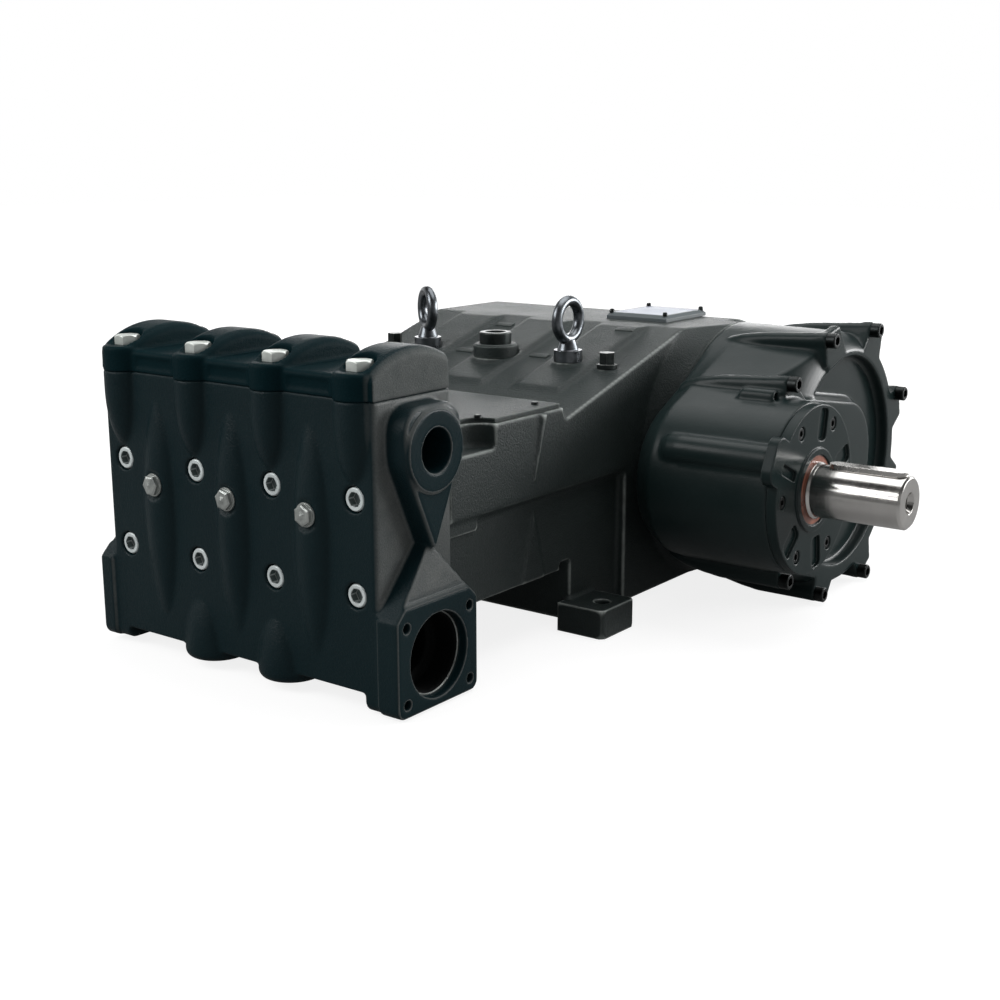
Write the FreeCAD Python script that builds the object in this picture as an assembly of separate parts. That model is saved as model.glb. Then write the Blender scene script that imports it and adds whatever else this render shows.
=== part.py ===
import FreeCAD, Part
import math
import os

# Triplex plunger pump with a side gearbox, in millimetres.
# X runs across the cylinders, Y from the fluid head to the crankcase rear, Z up.
# The origin is on the base plane, midway between the four foot bolts.

# Base and crankcase
foot_bolt_span_x = 439.0
foot_bolt_span_y = 437.0
foot_bolt_radius = 9.0
foot_width = 69.0
foot_height = 34.0
foot_reach = 23.0  # foot edge beyond its bolt
foot_root = 16.0  # foot inside the side wall
sump_inset = 18.0  # sump front behind the feet's fronts
crosshead_length = 213.0
crosshead_floor_z = 73.5
floor_notch_start = 2.0  # notch in the floor, ahead of the feet's fronts
floor_notch_rise = 8.5
platform_z = 264.5
platform_overhang = 13.0  # platform edge ahead of the feet's fronts
slope_foot_z = 250.5
crank_height = 167.5
crank_setback = 340.5  # crank axis behind the feet's fronts
case_round = 160.0
case_top_round = 127.0  # upper rear corner
slope_end_setback = 90.0  # end of the sloped top, ahead of the crank axis
ledge_z = 174.0
ledge_drop = 10.0
ledge_length = 330.0
wall_inset = 11.0
ledge_step_length = 50.0
ledge_step_drop = 18.0
ledge_step_inset = 4.0
wall_pad_setback = 55.0  # tip of the wall pad ahead of the feet's fronts
wall_pad_rise = 2.0
wall_pad_half_width = 21.0
wall_pad_top_z = 150.0
end_margin = 28.0  # side wall beyond the outer column
pocket_depth = 26.0
pocket_length = 76.0
pocket_drop = 25.5
pocket_round = 24.0
side_rib_setback = 53.0  # top of the rib ahead of the feet's fronts
side_rib_lean = 16.0
side_rib_radius = 5.0
side_rib_low_radius = 2.0
side_rib_low_z = 192.0

# Cylinders and fluid head
cylinder_pitch = 112.0
head_depth = 114.0
head_bottom_z = 21.0
head_split_z = 312.0
column_radius = 23.0
column_set_in = 8.5  # column axis behind the front face
column_tip_z = 231.0
column_taper = 60.0
bulge_half_length = 118.0
bulge_drop = 28.5  # middle of the bulge below its plug
bulge_radius = 30.0
bulge_proud = 12.0
toe_radius = 36.0
toe_top_z = 76.0
toe_bottom_z = 9.0
toe_proud = 13.0
cover_thickness = 23.0
cover_lobe_rise = 4.0
rear_lobe_radius = 16.0
arch_rise = 24.0
arch_front_rise = 5.0
arch_rear_rise = 12.5
arch_front_inset = 2.0
arch_rear_inset = 1.0
arch_width = 48.0
arch_round = 10.0
cover_panel_depth = 2.0
cover_panel_margin = 4.0
bolt_room = 3.0  # arch clear of a cover bolt's corners

# Ports
port_reach = 28.0  # right port faces beyond the head side
left_port_reach = 20.0
port_setback = 59.5  # port axes behind the head front
suction_radius = 43.9
suction_inner_radius = 40.0
gallery_radius = 28.0
suction_lip = 12.0
suction_room = 40.0
suction_depth = 90.0
suction_z = 55.0
suction_block_height = 112.0
left_block_height = 105.0
left_suction_rise = 1.0  # left suction axis above the right one
suction_block_inset = 19.0
suction_block_lift = 3.0  # middle of the suction block above its port axis
suction_overhang = 3.5  # flange plate ahead of and behind the head body
suction_corner = 13.0
suction_bolt_span_y = 97.5
suction_bolt_span_z = 78.0
outlet_radius = 22.3
outlet_depth = 80.0
outlet_z = 261.0
outlet_boss_radius = 43.0
outlet_crown_reach = 45.0  # flat top of the boss above the port axis
outlet_crown_round = 26.0
outlet_edge_round = 5.0
outlet_ring_radius = 41.0
outlet_ring_step = 3.0
blank_reach = 8.0
neck_z = 167.0
neck_half_width = 4.0
port_bolt_radius = 5.1
port_bolt_depth = 22.0

# Fasteners on the head
screw_row_gap = 96.3
screw_head_radius = 12.0
screw_head_height = 16.0
screw_sunk = 1.5
socket_across = 14.0
hex_bolt_across = 24.0
hex_bolt_height = 10.0
bolt_setback = 14.0  # front cover bolts behind the head front
rear_bolt_inset = 14.0
plug_across = 22.0
plug_height = 9.0
plug_z = 194.5
spotface_radius = 16.5
spotface_sunk = 4.0

# Top of the crankcase
pad_half_width = 33.0
pad_rise = 5.0
pad_start = 62.0  # pad start behind the slope's foot
fitting_setback = 135.0  # eye bolts, filler and breathers behind the slope's foot
seat_rise = 4.0
seat_margin = 1.5
eye_bolt_x = 109.0
eye_ring_radius = 23.0
eye_wire_radius = 6.5
eye_collar_radius = 17.0
eye_neck_foot_radius = eye_collar_radius - 4
eye_neck_top_radius = eye_wire_radius + 2
eye_collar_height = 14.0
eye_neck_height = 12.5
left_eye_angle = -34.0
right_eye_angle = 90.0
breather_x = 165.0
breather_across = 17.0
breather_height = 14.0
breather_collar_radius = 12.0
filler_radius = 27.5
filler_height = 16.0
cap_radius = 20.0
cap_height = 14.0
plate_thickness = 5.0
plate_margin = 4.0
nameplate_length = 90.0
nameplate_width = 102.0
nameplate_thickness = 8.0
nameplate_x = 101.0

# Gearbox
gear_centres = 170.0
adapter_length = 27.0
bell_root_reach = 188.0  # front of the bell's root ahead of the crank axis
bell_root_lift = 12.0
joint_flat = 8.0
housing_length = 152.0
housing_radius = 161.0
housing_draft = 3.0
lobe_radius = 99.0
lobe_root_radius = 66.0
lobe_back = 30.0  # length over which the lobe swells to its full radius
lobe_reach = 28.0
shoulder_length = 22.0  # rounded shoulder round the face, along the axis
shoulder_width = 10.0
scoop_radius = 136.0  # face edge between the upper bosses
scoop_length = 32.0
scoop_angles = (69.0, 104.0)
front_scoop_radius = 121.0
front_scoop_length = 40.0
front_scoop_reach = 24.0  # outer end of the front scoop beyond the housing wall
front_scoop_angles = (113.5, 142.0)
recess_depth = 14.0
rim_width = 18.0
hub_radius = 72.0  # raised centre of the face, round the crank axis
hub_draft = 6.0  # by which its foot is wider
housing_floor_z = 2.5  # lowest point of the lugs
gear_bolt_standoff = 7.0  # bolt axes beyond the housing wall
gear_boss_radius = 9.5
boss_profile = [(13.0, -10.0), (23.0, -5.0), (39.0, -0.5), (69.0, 4.0)]  # way along the wall, crown height
low_boss_profile = [(4.0, -9.0), (14.0, -3.0), (26.0, 2.0), (50.0, 6.5), (74.0, 9.5)]
boss_depth = 38.0
lug_thickness = 12.0
lug_root_drop = 28.0  # root of a lug inside its bolt
lug_spread = [(6.0, 17.0), (2.0, 11.0)]  # degrees to either side, at the root and at the tip
duct_radius = 17.0
duct_standoff = -4.0
duct_angle = 151.5
duct_start = 36.0
duct_nose = 30.0
lobe_bolt_standoff = 17.0
lobe_bolt_angle = 86.0
gear_screw_head_radius = 9.0
gear_screw_head_height = 11.0
small_boss_radius = 8.5
small_boss_standoff = 4.5
small_boss_angle = 97.0
small_boss_length = 45.0
small_boss_set_back = 6.0
small_hole_radius = 5.0
small_hole_depth = 10.0
input_flange_radius = 97.0
input_flange_thickness = 12.0
input_bolt_circle = 81.0
input_head_radius = 6.5
input_head_height = 6.0
input_head_sunk = 1.0
input_slot_width = 22.0
input_slot_depth = 4.0
input_slot_start = 56.0
input_slot_end = 93.0
duct_slot_width = 12.0
input_slot_angles = [20.0, 80.0, 221.0, 277.0, 335.0]
ear_reach = 118.0
ear_half_width = 27.0
ear_round = 14.0
seal_ring_radius = 48.0
seal_ring_rise = 2.0
seal_radius = 40.5
seal_thickness = 10.0
shaft_radius = 30.0
shaft_reach = 111.0
shaft_depth = 120.0
journal_step = 2.5  # seal journal beyond the shaft end in radius
journal_reach = 2.0  # journal end beyond the seal ring
centre_hole_radius = 8.75
centre_hole_depth = 36.0
centre_cone_radius = 12.5
centre_cone_depth = 6.5
key_width = 18.0
key_height = 11.0
key_rise = 4.0
key_length = 90.0
key_end = 4.0

# Hidden sides
bearing_boss_radius = 118.0
bearing_boss_reach = 12.0
bearing_cover_radius = 96.0
bearing_cover_thickness = 14.0
bearing_bolt_circle = 164.0
rear_cover_thickness = 12.0
rear_cover_lift = 14.0  # lower edge above the case floor
rear_cover_drop = 6.0  # upper edge below the crank axis
rear_cover_round = 14.0
rear_screw_margin = 13.0
rear_screw_across = 13.0
rear_screw_height = 6.0
rear_plug_across = 22.0
rear_plug_height = 12.0
rear_plug_collar_width = 4.0
rear_plug_collar_height = 4.0
level_plug_x = 90.0
drain_plug_lift = 44.0  # above the rear cover's lower edge
rear_cover_gap = 18.0  # rear cover clear of the rear feet

# Fits
running_clearance = 0.06
counterbore_clearance = 1.6

# Places worked out from the sizes above
side_x = 1.5 * cylinder_pitch + end_margin
feet_front_y = -(foot_bolt_span_y + foot_width) / 2
sump_y = feet_front_y + sump_inset
head_rear_y = feet_front_y - crosshead_length
head_front_y = head_rear_y - head_depth
crank_y = feet_front_y + crank_setback
case_rear_y = crank_y + case_round
rear_face_y = case_rear_y + rear_cover_thickness
case_top_z = crank_height + case_round
case_floor_z = crank_height - case_round
rear_cover_low_z = case_floor_z + rear_cover_lift
rear_cover_top_z = crank_height - rear_cover_drop
slope_foot_y = feet_front_y - platform_overhang
slope_end_y = crank_y - slope_end_setback
input_y = crank_y - gear_centres
port_x = side_x + port_reach
left_port_x = side_x + left_port_reach
left_suction_z = suction_z + left_suction_rise
port_y = head_front_y + port_setback
adapter_x = side_x + adapter_length
housing_x = adapter_x + housing_length
flange_root_x = housing_x + lobe_reach
flange_x = flange_root_x + input_flange_thickness
shaft_end_x = flange_x + shaft_reach
journal_radius = shaft_radius + journal_step
journal_x = flange_x + seal_ring_rise + journal_reach
gear_bolt_reach = housing_radius + gear_bolt_standoff
lobe_bolt_reach = lobe_radius + lobe_bolt_standoff
small_boss_reach = lobe_radius + small_boss_standoff
duct_reach = lobe_radius + duct_standoff
column_y = head_front_y + column_set_in
cover_top_z = head_split_z + cover_thickness
lobe_top_z = cover_top_z + cover_lobe_rise
fitting_y = slope_foot_y + fitting_setback
bearing_boss_x = side_x + bearing_boss_reach
column_xs = [(k - 1.5) * cylinder_pitch for k in range(4)]
cylinder_xs = [(k - 1) * cylinder_pitch for k in range(3)]

# Small lengths of single features
head_corner_round = 6.0
toe_waist_drop = 4.0
toe_waist_set = 2.5
toe_round = 9.0
suction_plate_inset = 1.5
suction_corner_round = 11.0
suction_edge_round = 2.0
suction_root = 3.0
boss_bury = 8.0
column_tip_round = 2.5
cover_edge_round = 5.0
hex_chamfer_height = 14.0
hex_chamfer_spread = 12.0
hex_chamfer_cut = 2.0
screw_edge = 1.2
left_plug_rim = 5.0
left_plug_rim_width = 4.0
left_plug_depth = 30.0
left_plug_across = 27.0
left_plug_height = 9.0
pocket_floor_round = 5.0
foot_corner_round = 6.0
pad_edge_round = 4.0
step_round = 4.0
seat_bury = 14.0
seat_clear_height = 40.0
filler_edge = 2.5
cap_wall = 7.0
cap_hollow = 5.0
breather_collar_height = 5.0
nameplate_chamfer = 4.0
gear_screw_edge = 1.0
gear_socket_across = 10.0
input_socket_across = 7.0
shaft_chamfer = 2.5
bearing_cover_edge = 3.0
bearing_screw_across = 16.0
bearing_screw_height = 8.0


def vec(x, y, z):
    return FreeCAD.Vector(x, y, z)


def block(x0, x1, y0, y1, z0, z1):
    return Part.makeBox(x1 - x0, y1 - y0, z1 - z0, vec(x0, y0, z0))


def rod_x(radius, x0, x1, y, z):
    return Part.makeCylinder(radius, x1 - x0, vec(x0, y, z), vec(1, 0, 0))


def rod_y(radius, y0, y1, x, z):
    return Part.makeCylinder(radius, y1 - y0, vec(x, y0, z), vec(0, 1, 0))


def rod_z(radius, z0, z1, x, y):
    return Part.makeCylinder(radius, z1 - z0, vec(x, y, z0), vec(0, 0, 1))


def polygon_face(corners):
    return Part.Face(Part.makePolygon(corners + corners[:1]))


def prism_x(points, x0, x1):
    face = polygon_face([vec(x0, y, z) for y, z in points])
    return face.extrude(vec(x1 - x0, 0, 0))


def prism_y(points, y0, y1):
    face = polygon_face([vec(x, y0, z) for x, z in points])
    return face.extrude(vec(0, y1 - y0, 0))


def turned_z(edges, x, y):
    face = Part.Face(Part.Wire(edges))
    return face.revolve(vec(x, y, 0), vec(0, 0, 1), 360)


def hexagon(across, centre, axis, height):
    corner = across / math.sqrt(3)
    angles = [math.pi / 3 * k for k in range(6)]
    points = [vec(corner * math.cos(a), corner * math.sin(a), 0) for a in angles]
    prism = polygon_face(points).extrude(vec(0, 0, height))
    prism.Placement = FreeCAD.Placement(centre, FreeCAD.Rotation(vec(0, 0, 1), axis))
    return prism


# Wide cone that trims the corners of a hexagon head at its outer end
def chamfer_cone(corner, end, inward):
    narrow = corner - hex_chamfer_cut
    wide = corner + hex_chamfer_spread
    return Part.makeCone(narrow, wide, hex_chamfer_height, end, inward)


def fused(shapes):
    return shapes[0].multiFuse(shapes[1:]).removeSplitter()


def softened(shape, radius, chosen):
    edges = [edge for edge in shape.Edges if chosen(edge)]
    return shape.makeFillet(radius, edges)


def bevelled(shape, size, chosen):
    return shape.makeChamfer(size, [edge for edge in shape.Edges if chosen(edge)])


def middle(edge):
    return edge.CenterOfMass


def mirrored(shape):
    return shape.mirror(vec(0, 0, 0), vec(1, 0, 0))


def circle_places(y, z, radius, count, start):
    angles = [math.radians(start + 360.0 * k / count) for k in range(count)]
    return [(y + radius * math.cos(a), z + radius * math.sin(a)) for a in angles]


def save(name, shape):
    shape.exportStep("parts/" + name + ".step")


def head_block():
    shape = block(-side_x, side_x, head_front_y, head_rear_y, head_bottom_z, head_split_z)
    upright = head_split_z - head_bottom_z

    def front_corner(edge):
        return abs(edge.Length - upright) < 0.1 and middle(edge).y < column_y

    return softened(shape, head_corner_round, front_corner)


# Round column under each front cover bolt, its foot drawn out to a smooth tip
def column(x):
    reach = column_taper / math.sqrt(1 - (column_set_in / column_radius) ** 2)
    shoulder_z = column_tip_z + column_taper
    centre = vec(x, column_y, shoulder_z)
    low = vec(x, column_y, shoulder_z - reach)
    flank = vec(x + column_radius, column_y, shoulder_z)
    oval = Part.Ellipse(vec(x, column_y, shoulder_z + reach), flank, centre)
    foot = Part.ArcOfEllipse(oval, oval.parameter(flank), oval.parameter(low)).toShape()
    top = vec(x + column_radius, column_y, head_split_z)
    crown = vec(x, column_y, head_split_z)
    edges = [foot, Part.makeLine(flank, top), Part.makeLine(top, crown), Part.makeLine(crown, low)]
    return turned_z(Part.sortEdges(edges)[0], x, column_y)


# Slender barrel on the front face, over each valve
def barrel(x):
    axis_y = head_front_y + bulge_radius - bulge_proud
    centre_z = plug_z - bulge_drop
    end_radius = bulge_radius - bulge_proud
    low = vec(x + end_radius, axis_y, centre_z - bulge_half_length)
    mid = vec(x + bulge_radius, axis_y, centre_z)
    high = vec(x + end_radius, axis_y, centre_z + bulge_half_length)
    top = vec(x, axis_y, high.z)
    foot = vec(x, axis_y, low.z)
    arc = Part.Arc(low, mid, high).toShape()
    edges = [arc, Part.makeLine(high, top), Part.makeLine(top, foot), Part.makeLine(foot, low)]
    return turned_z(edges, x, axis_y)


# Round toe at the head's foot, under each inner column
def toe(x):
    axis_y = head_front_y + toe_radius - toe_proud
    waist_z = (toe_bottom_z + toe_top_z) / 2 - toe_waist_drop
    low = vec(x + toe_radius, axis_y, toe_bottom_z)
    mid = vec(x + toe_radius - toe_waist_set, axis_y, waist_z)
    high = vec(x + toe_radius - toe_proud, axis_y, toe_top_z)
    top = vec(x, axis_y, high.z)
    foot = vec(x, axis_y, low.z)
    arc = Part.Arc(low, mid, high).toShape()
    shape = turned_z(
        [arc, Part.makeLine(high, top), Part.makeLine(top, foot), Part.makeLine(foot, low)], x, axis_y
    )

    def foot_edge(edge):
        return abs(middle(edge).z - toe_bottom_z) < 0.1 and edge.Length > toe_radius

    return softened(shape, toe_round, foot_edge)


# Square suction end: a block under the head's side with a plate that overhangs it
def suction_block(face_x, axis_z, height):
    z0 = axis_z - height / 2 + suction_block_lift
    z1 = z0 + height

    def outline(overhang):
        y0 = head_front_y - overhang
        y1 = head_rear_y + overhang * 2
        cut = suction_corner
        return [(y0, z0), (y0, z1 - cut), (y0 + cut, z1), (y1 - cut, z1), (y1, z1 - cut), (y1, z0)]

    def low_corner(edge):
        return abs(middle(edge).z - z0) < 0.1 and abs(middle(edge).y - port_y) > head_depth / 3

    plate = prism_x(outline(suction_overhang), side_x + suction_plate_inset, face_x)
    plate = softened(plate, suction_corner_round, low_corner)
    plate = softened(plate, suction_edge_round, lambda e: abs(middle(e).x - face_x) < 0.1)
    root = prism_x(outline(0.0), side_x - suction_block_inset, side_x + suction_root)
    root = softened(root, suction_corner_round, low_corner)
    return plate.fuse(root)


# Outlet boss: square-shouldered at the top, running down to a narrow neck
def outlet_boss(reach):
    drop = outlet_z - neck_z
    sine = (outlet_boss_radius - neck_half_width) / drop
    cosine = math.sqrt(1 - sine * sine)
    x = side_x - boss_bury
    left_top = vec(x, port_y - outlet_boss_radius * cosine, outlet_z - outlet_boss_radius * sine)
    left_low = vec(x, port_y - neck_half_width * cosine, neck_z - neck_half_width * sine)
    right_top = vec(x, 2 * port_y - left_top.y, left_top.z)
    right_low = vec(x, 2 * port_y - left_low.y, left_low.z)
    crown_z = outlet_z + outlet_crown_reach
    bend = outlet_crown_round * (1 - math.sqrt(0.5))

    def crown(y_side):
        y = port_y + y_side * outlet_boss_radius
        side = vec(x, y, crown_z - outlet_crown_round)
        corner = vec(x, y - y_side * bend, crown_z - bend)
        top = vec(x, y - y_side * outlet_crown_round, crown_z)
        return side, corner, top

    right_side, right_corner, right_crown = crown(1)
    left_side, left_corner, left_crown = crown(-1)
    flank = outlet_boss_radius * sine / 2
    right_waist = vec(x, port_y + math.sqrt(outlet_boss_radius**2 - flank**2), outlet_z - flank)
    left_waist = vec(x, 2 * port_y - right_waist.y, right_waist.z)
    edges = [
        Part.makeLine(left_crown, right_crown),
        Part.Arc(right_crown, right_corner, right_side).toShape(),
        Part.makeLine(right_side, vec(x, port_y + outlet_boss_radius, outlet_z)),
        Part.Arc(vec(x, port_y + outlet_boss_radius, outlet_z), right_waist, right_top).toShape(),
        Part.makeLine(right_top, right_low),
        Part.Arc(right_low, vec(x, port_y, neck_z - neck_half_width), left_low).toShape(),
        Part.makeLine(left_low, left_top),
        Part.Arc(left_top, left_waist, vec(x, port_y - outlet_boss_radius, outlet_z)).toShape(),
        Part.makeLine(vec(x, port_y - outlet_boss_radius, outlet_z), left_side),
        Part.Arc(left_side, left_corner, left_crown).toShape(),
    ]
    body_x = side_x + reach - outlet_ring_step
    boss = Part.Face(Part.Wire(edges)).extrude(vec(body_x - x, 0, 0))
    boss = softened(boss, outlet_edge_round, lambda e: abs(middle(e).x - body_x) < 0.1)
    return boss.fuse(rod_x(outlet_ring_radius, x, side_x + reach, port_y, outlet_z))


# Shoulder that spreads from the neck to the suction end, leaning inwards as it rises
def port_shoulder(face_x, axis_z, height):
    z0 = axis_z + height / 2 + suction_block_lift
    rise = neck_z - z0
    half = head_depth / 2 + suction_overhang
    x = side_x - boss_bury
    left = vec(x, port_y - half, z0 - 10)
    right = vec(x, port_y + half, z0 - 10)
    tip = vec(x, port_y, neck_z + 4)
    left_mid = vec(x, port_y - 0.42 * half, z0 + 0.52 * rise)
    right_mid = vec(x, port_y + 0.42 * half, z0 + 0.52 * rise)
    edges = [
        Part.Arc(left, left_mid, tip).toShape(),
        Part.Arc(tip, right_mid, right).toShape(),
        Part.makeLine(right, left),
    ]
    slab = Part.Face(Part.Wire(edges)).extrude(vec(face_x - x - 2, 0, 0))
    lean = [(face_x - 2, z0 - 12), (face_x - 12, neck_z + 6), (x - 5, neck_z + 6), (x - 5, z0 - 12)]
    return slab.common(prism_y(lean, port_y - head_depth, port_y + head_depth))


def suction_holes(face_x, axis_z):
    holes = [rod_x(suction_radius, face_x - suction_lip, face_x + 1, port_y, axis_z)]
    holes.append(rod_x(suction_inner_radius, face_x - suction_room, face_x, port_y, axis_z))
    holes.append(rod_x(gallery_radius, face_x - suction_depth, face_x, port_y, axis_z))
    for y_side in (-1, 1):
        for z_side in (-1, 1):
            y = port_y + y_side * suction_bolt_span_y / 2
            z = axis_z + z_side * suction_bolt_span_z / 2
            holes.append(rod_x(port_bolt_radius, face_x - port_bolt_depth, face_x + 1, y, z))
    return holes


def outlet_cuts():
    bore = rod_x(outlet_radius, port_x - outlet_depth, port_x + 1, port_y, outlet_z)
    blank = rod_x(outlet_radius, -side_x - blank_reach - 1, -side_x + outlet_depth / 2, port_y, outlet_z)
    return [bore, blank]


def screw_places():
    rows = (crank_height - screw_row_gap / 2, crank_height + screw_row_gap / 2)
    return [(x, z) for x in column_xs for z in rows]


def fluid_head():
    pieces = [head_block(), outlet_boss(port_reach), mirrored(outlet_boss(blank_reach))]
    pieces += [column(x) for x in column_xs]
    pieces += [barrel(x) for x in cylinder_xs]
    pieces += [toe(x) for x in column_xs[1:3]]
    right = (port_x, suction_z, suction_block_height)
    left = (left_port_x, left_suction_z, left_block_height)
    pieces += [suction_block(*right), port_shoulder(*right)]
    pieces += [mirrored(suction_block(*left)), mirrored(port_shoulder(*left))]
    cuts = suction_holes(port_x, suction_z)
    cuts += [mirrored(hole) for hole in suction_holes(left_port_x, left_suction_z)]
    cuts += outlet_cuts()
    bottom_y = head_front_y + screw_head_height + screw_sunk
    for x, z in screw_places():
        cuts.append(rod_y(screw_head_radius + counterbore_clearance, head_front_y - 1, bottom_y, x, z))
    for x in cylinder_xs:
        seat_y = head_front_y - bulge_proud + spotface_sunk
        cuts.append(rod_y(spotface_radius, head_front_y - bulge_radius, seat_y, x, plug_z))
    return fused(pieces).cut(Part.makeCompound(cuts)).removeSplitter()


def cover_bolt_places():
    rows = (head_front_y + bolt_setback, head_rear_y - rear_bolt_inset)
    return [(x, y) for x in column_xs for y in rows]


# Arched rib over each column, from the front of the cover to its rear
def arch(x0, x1):
    y0 = head_front_y + arch_front_inset
    y1 = head_rear_y - arch_rear_inset
    base_z = (head_split_z + cover_top_z) / 2
    front = vec(x0, y0, cover_top_z + arch_front_rise)
    crown = vec(x0, (y0 + y1) / 2, cover_top_z + arch_rise)
    rear = vec(x0, y1, cover_top_z + arch_rear_rise)
    rear_foot = vec(x0, y1, base_z)
    front_foot = vec(x0, y0, base_z)
    edges = [
        Part.Arc(front, crown, rear).toShape(),
        Part.makeLine(rear, rear_foot),
        Part.makeLine(rear_foot, front_foot),
        Part.makeLine(front_foot, front),
    ]
    rib = Part.Face(Part.Wire(edges)).extrude(vec(x1 - x0, 0, 0))
    return softened(rib, arch_round, lambda e: middle(e).z > cover_top_z and e.Length > (y1 - y0) * 0.9)


def cover_lobe(x, y, radius):
    lobe = rod_z(radius, head_split_z, lobe_top_z, x, y)
    return bevelled(lobe, column_tip_round, lambda e: middle(e).z > cover_top_z + 1)


def top_cover():
    plate = block(-side_x, side_x, head_front_y, head_rear_y, head_split_z, cover_top_z)
    plate = softened(plate, cover_edge_round, lambda e: abs(middle(e).z - cover_top_z) < 0.1)
    pieces = [plate]
    for x in column_xs:
        pieces.append(cover_lobe(x, column_y, column_radius))
        pieces.append(cover_lobe(x, head_rear_y - rear_lobe_radius, rear_lobe_radius))
        x0 = -side_x if x < -cylinder_pitch else x - arch_width / 2
        x1 = side_x if x > cylinder_pitch else x + arch_width / 2
        pieces.append(arch(x0, x1))
    room_radius = hex_bolt_across / math.sqrt(3) + bolt_room
    top = cover_top_z + arch_rise + 1
    cuts = [rod_z(room_radius, lobe_top_z, top, x, y) for x, y in cover_bolt_places()]
    half = cylinder_pitch / 2 - column_radius - cover_panel_margin
    panel_y = head_front_y + cover_panel_depth
    z0 = head_split_z + cover_panel_margin
    z1 = cover_top_z - cover_panel_margin - 2
    cuts += [block(x - half, x + half, head_front_y - 1, panel_y, z0, z1) for x in cylinder_xs]
    return fused(pieces).cut(Part.makeCompound(cuts))


def cover_bolt(x, y):
    head = hexagon(hex_bolt_across, vec(x, y, lobe_top_z), vec(0, 0, 1), hex_bolt_height)
    corner = hex_bolt_across / math.sqrt(3)
    cone = chamfer_cone(corner, vec(x, y, lobe_top_z + hex_bolt_height), vec(0, 0, -1))
    return head.common(cone)


def socket_screw(x, z):
    y = head_front_y + screw_sunk
    head = rod_y(screw_head_radius, y, y + screw_head_height, x, z)
    head = bevelled(head, screw_edge, lambda e: middle(e).y < y + 0.1)
    socket_seat = vec(x, y + screw_head_height / 2, z)
    return head.cut(hexagon(socket_across, socket_seat, vec(0, -1, 0), screw_head_height))


def front_plug(x):
    y = head_front_y - bulge_proud + spotface_sunk
    head = hexagon(plug_across, vec(x, y, plug_z), vec(0, -1, 0), plug_height)
    corner = plug_across / math.sqrt(3)
    cone = chamfer_cone(corner, vec(x, y - plug_height, plug_z), vec(0, 1, 0))
    return head.common(cone)


def outlet_plug():
    x = -side_x - blank_reach
    rim = rod_x(outlet_radius + left_plug_rim, x - left_plug_rim_width, x, port_y, outlet_z)
    stem = rod_x(outlet_radius, x - 1, x + left_plug_depth, port_y, outlet_z)
    seat = vec(x - left_plug_rim_width + 1, port_y, outlet_z)
    head = hexagon(left_plug_across, seat, vec(-1, 0, 0), left_plug_height)
    return fused([rim, stem, head])


# Crankcase in side view: crosshead part, sloped top, round rear and sump
def case_profile():
    front_low = vec(0, head_rear_y, crosshead_floor_z)
    front_high = vec(0, head_rear_y, platform_z)
    step_high = vec(0, slope_foot_y, platform_z)
    slope_foot = vec(0, slope_foot_y + 4, slope_foot_z)
    slope_head = vec(0, slope_end_y, case_top_z)
    flat_end = vec(0, case_rear_y - case_top_round, case_top_z)
    turn = case_top_round * (1 - math.sqrt(0.5))
    shoulder = vec(0, case_rear_y - turn, case_top_z - turn)
    rear = vec(0, case_rear_y, case_top_z - case_top_round)
    rear_low = vec(0, case_rear_y, case_floor_z)
    sump_low = vec(0, sump_y, case_floor_z)
    sump_high = vec(0, sump_y, crosshead_floor_z + floor_notch_rise)
    notch_high = vec(0, feet_front_y - floor_notch_start, sump_high.z)
    notch_low = vec(0, notch_high.y, crosshead_floor_z)
    edges = [
        Part.makeLine(front_low, front_high),
        Part.makeLine(front_high, step_high),
        Part.makeLine(step_high, slope_foot),
        Part.makeLine(slope_foot, slope_head),
        Part.makeLine(slope_head, flat_end),
        Part.Arc(flat_end, shoulder, rear).toShape(),
        Part.makeLine(rear, rear_low),
        Part.makeLine(rear_low, sump_low),
        Part.makeLine(sump_low, sump_high),
        Part.makeLine(sump_high, notch_high),
        Part.makeLine(notch_high, notch_low),
        Part.makeLine(notch_low, front_low),
    ]
    return Part.Face(Part.Wire(edges))


def slope_height(y):
    share = (y - slope_foot_y) / (slope_end_y - slope_foot_y)
    return slope_foot_z + share * (case_top_z - slope_foot_z)


seat_z = slope_height(fitting_y) + seat_rise
breather_seat_z = seat_z - 4.0
filler_seat_z = seat_z - 2.0


# Inset of the side wall below the ledge, with a sloping underside
def ledge_cut():
    x0 = side_x - wall_inset
    points = [(x0, -5), (x0, ledge_z - ledge_drop), (side_x + 1, ledge_z), (side_x + 1, -5)]
    return prism_y(points, head_rear_y - 1, head_rear_y + ledge_length)


# Open pocket in the side wall, just behind the head
def side_pocket():
    x0 = side_x - pocket_depth
    y1 = head_rear_y + pocket_length
    z0 = platform_z - pocket_drop
    pocket = block(x0, side_x + 1, head_rear_y - 1, y1, z0, platform_z + 1)

    def inner_corner(edge):
        return abs(middle(edge).x - x0) < 0.1 and abs(middle(edge).y - y1) < 0.1

    pocket = softened(pocket, pocket_round, inner_corner)

    def floor_edge(edge):
        return abs(middle(edge).z - z0) < 0.1 and middle(edge).x < side_x

    return softened(pocket, pocket_floor_round, floor_edge)


def foot(x_side, y_side):
    x0 = side_x - foot_root
    x1 = foot_bolt_span_x / 2 + foot_reach
    y = y_side * foot_bolt_span_y / 2
    shape = block(x0, x1, y - foot_width / 2, y + foot_width / 2, 0, foot_height)

    def outer_corner(edge):
        return abs(middle(edge).x - x1) < 0.1 and edge.Length < foot_height + 1

    shape = softened(shape, foot_corner_round, outer_corner)
    return shape if x_side > 0 else mirrored(shape)


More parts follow.
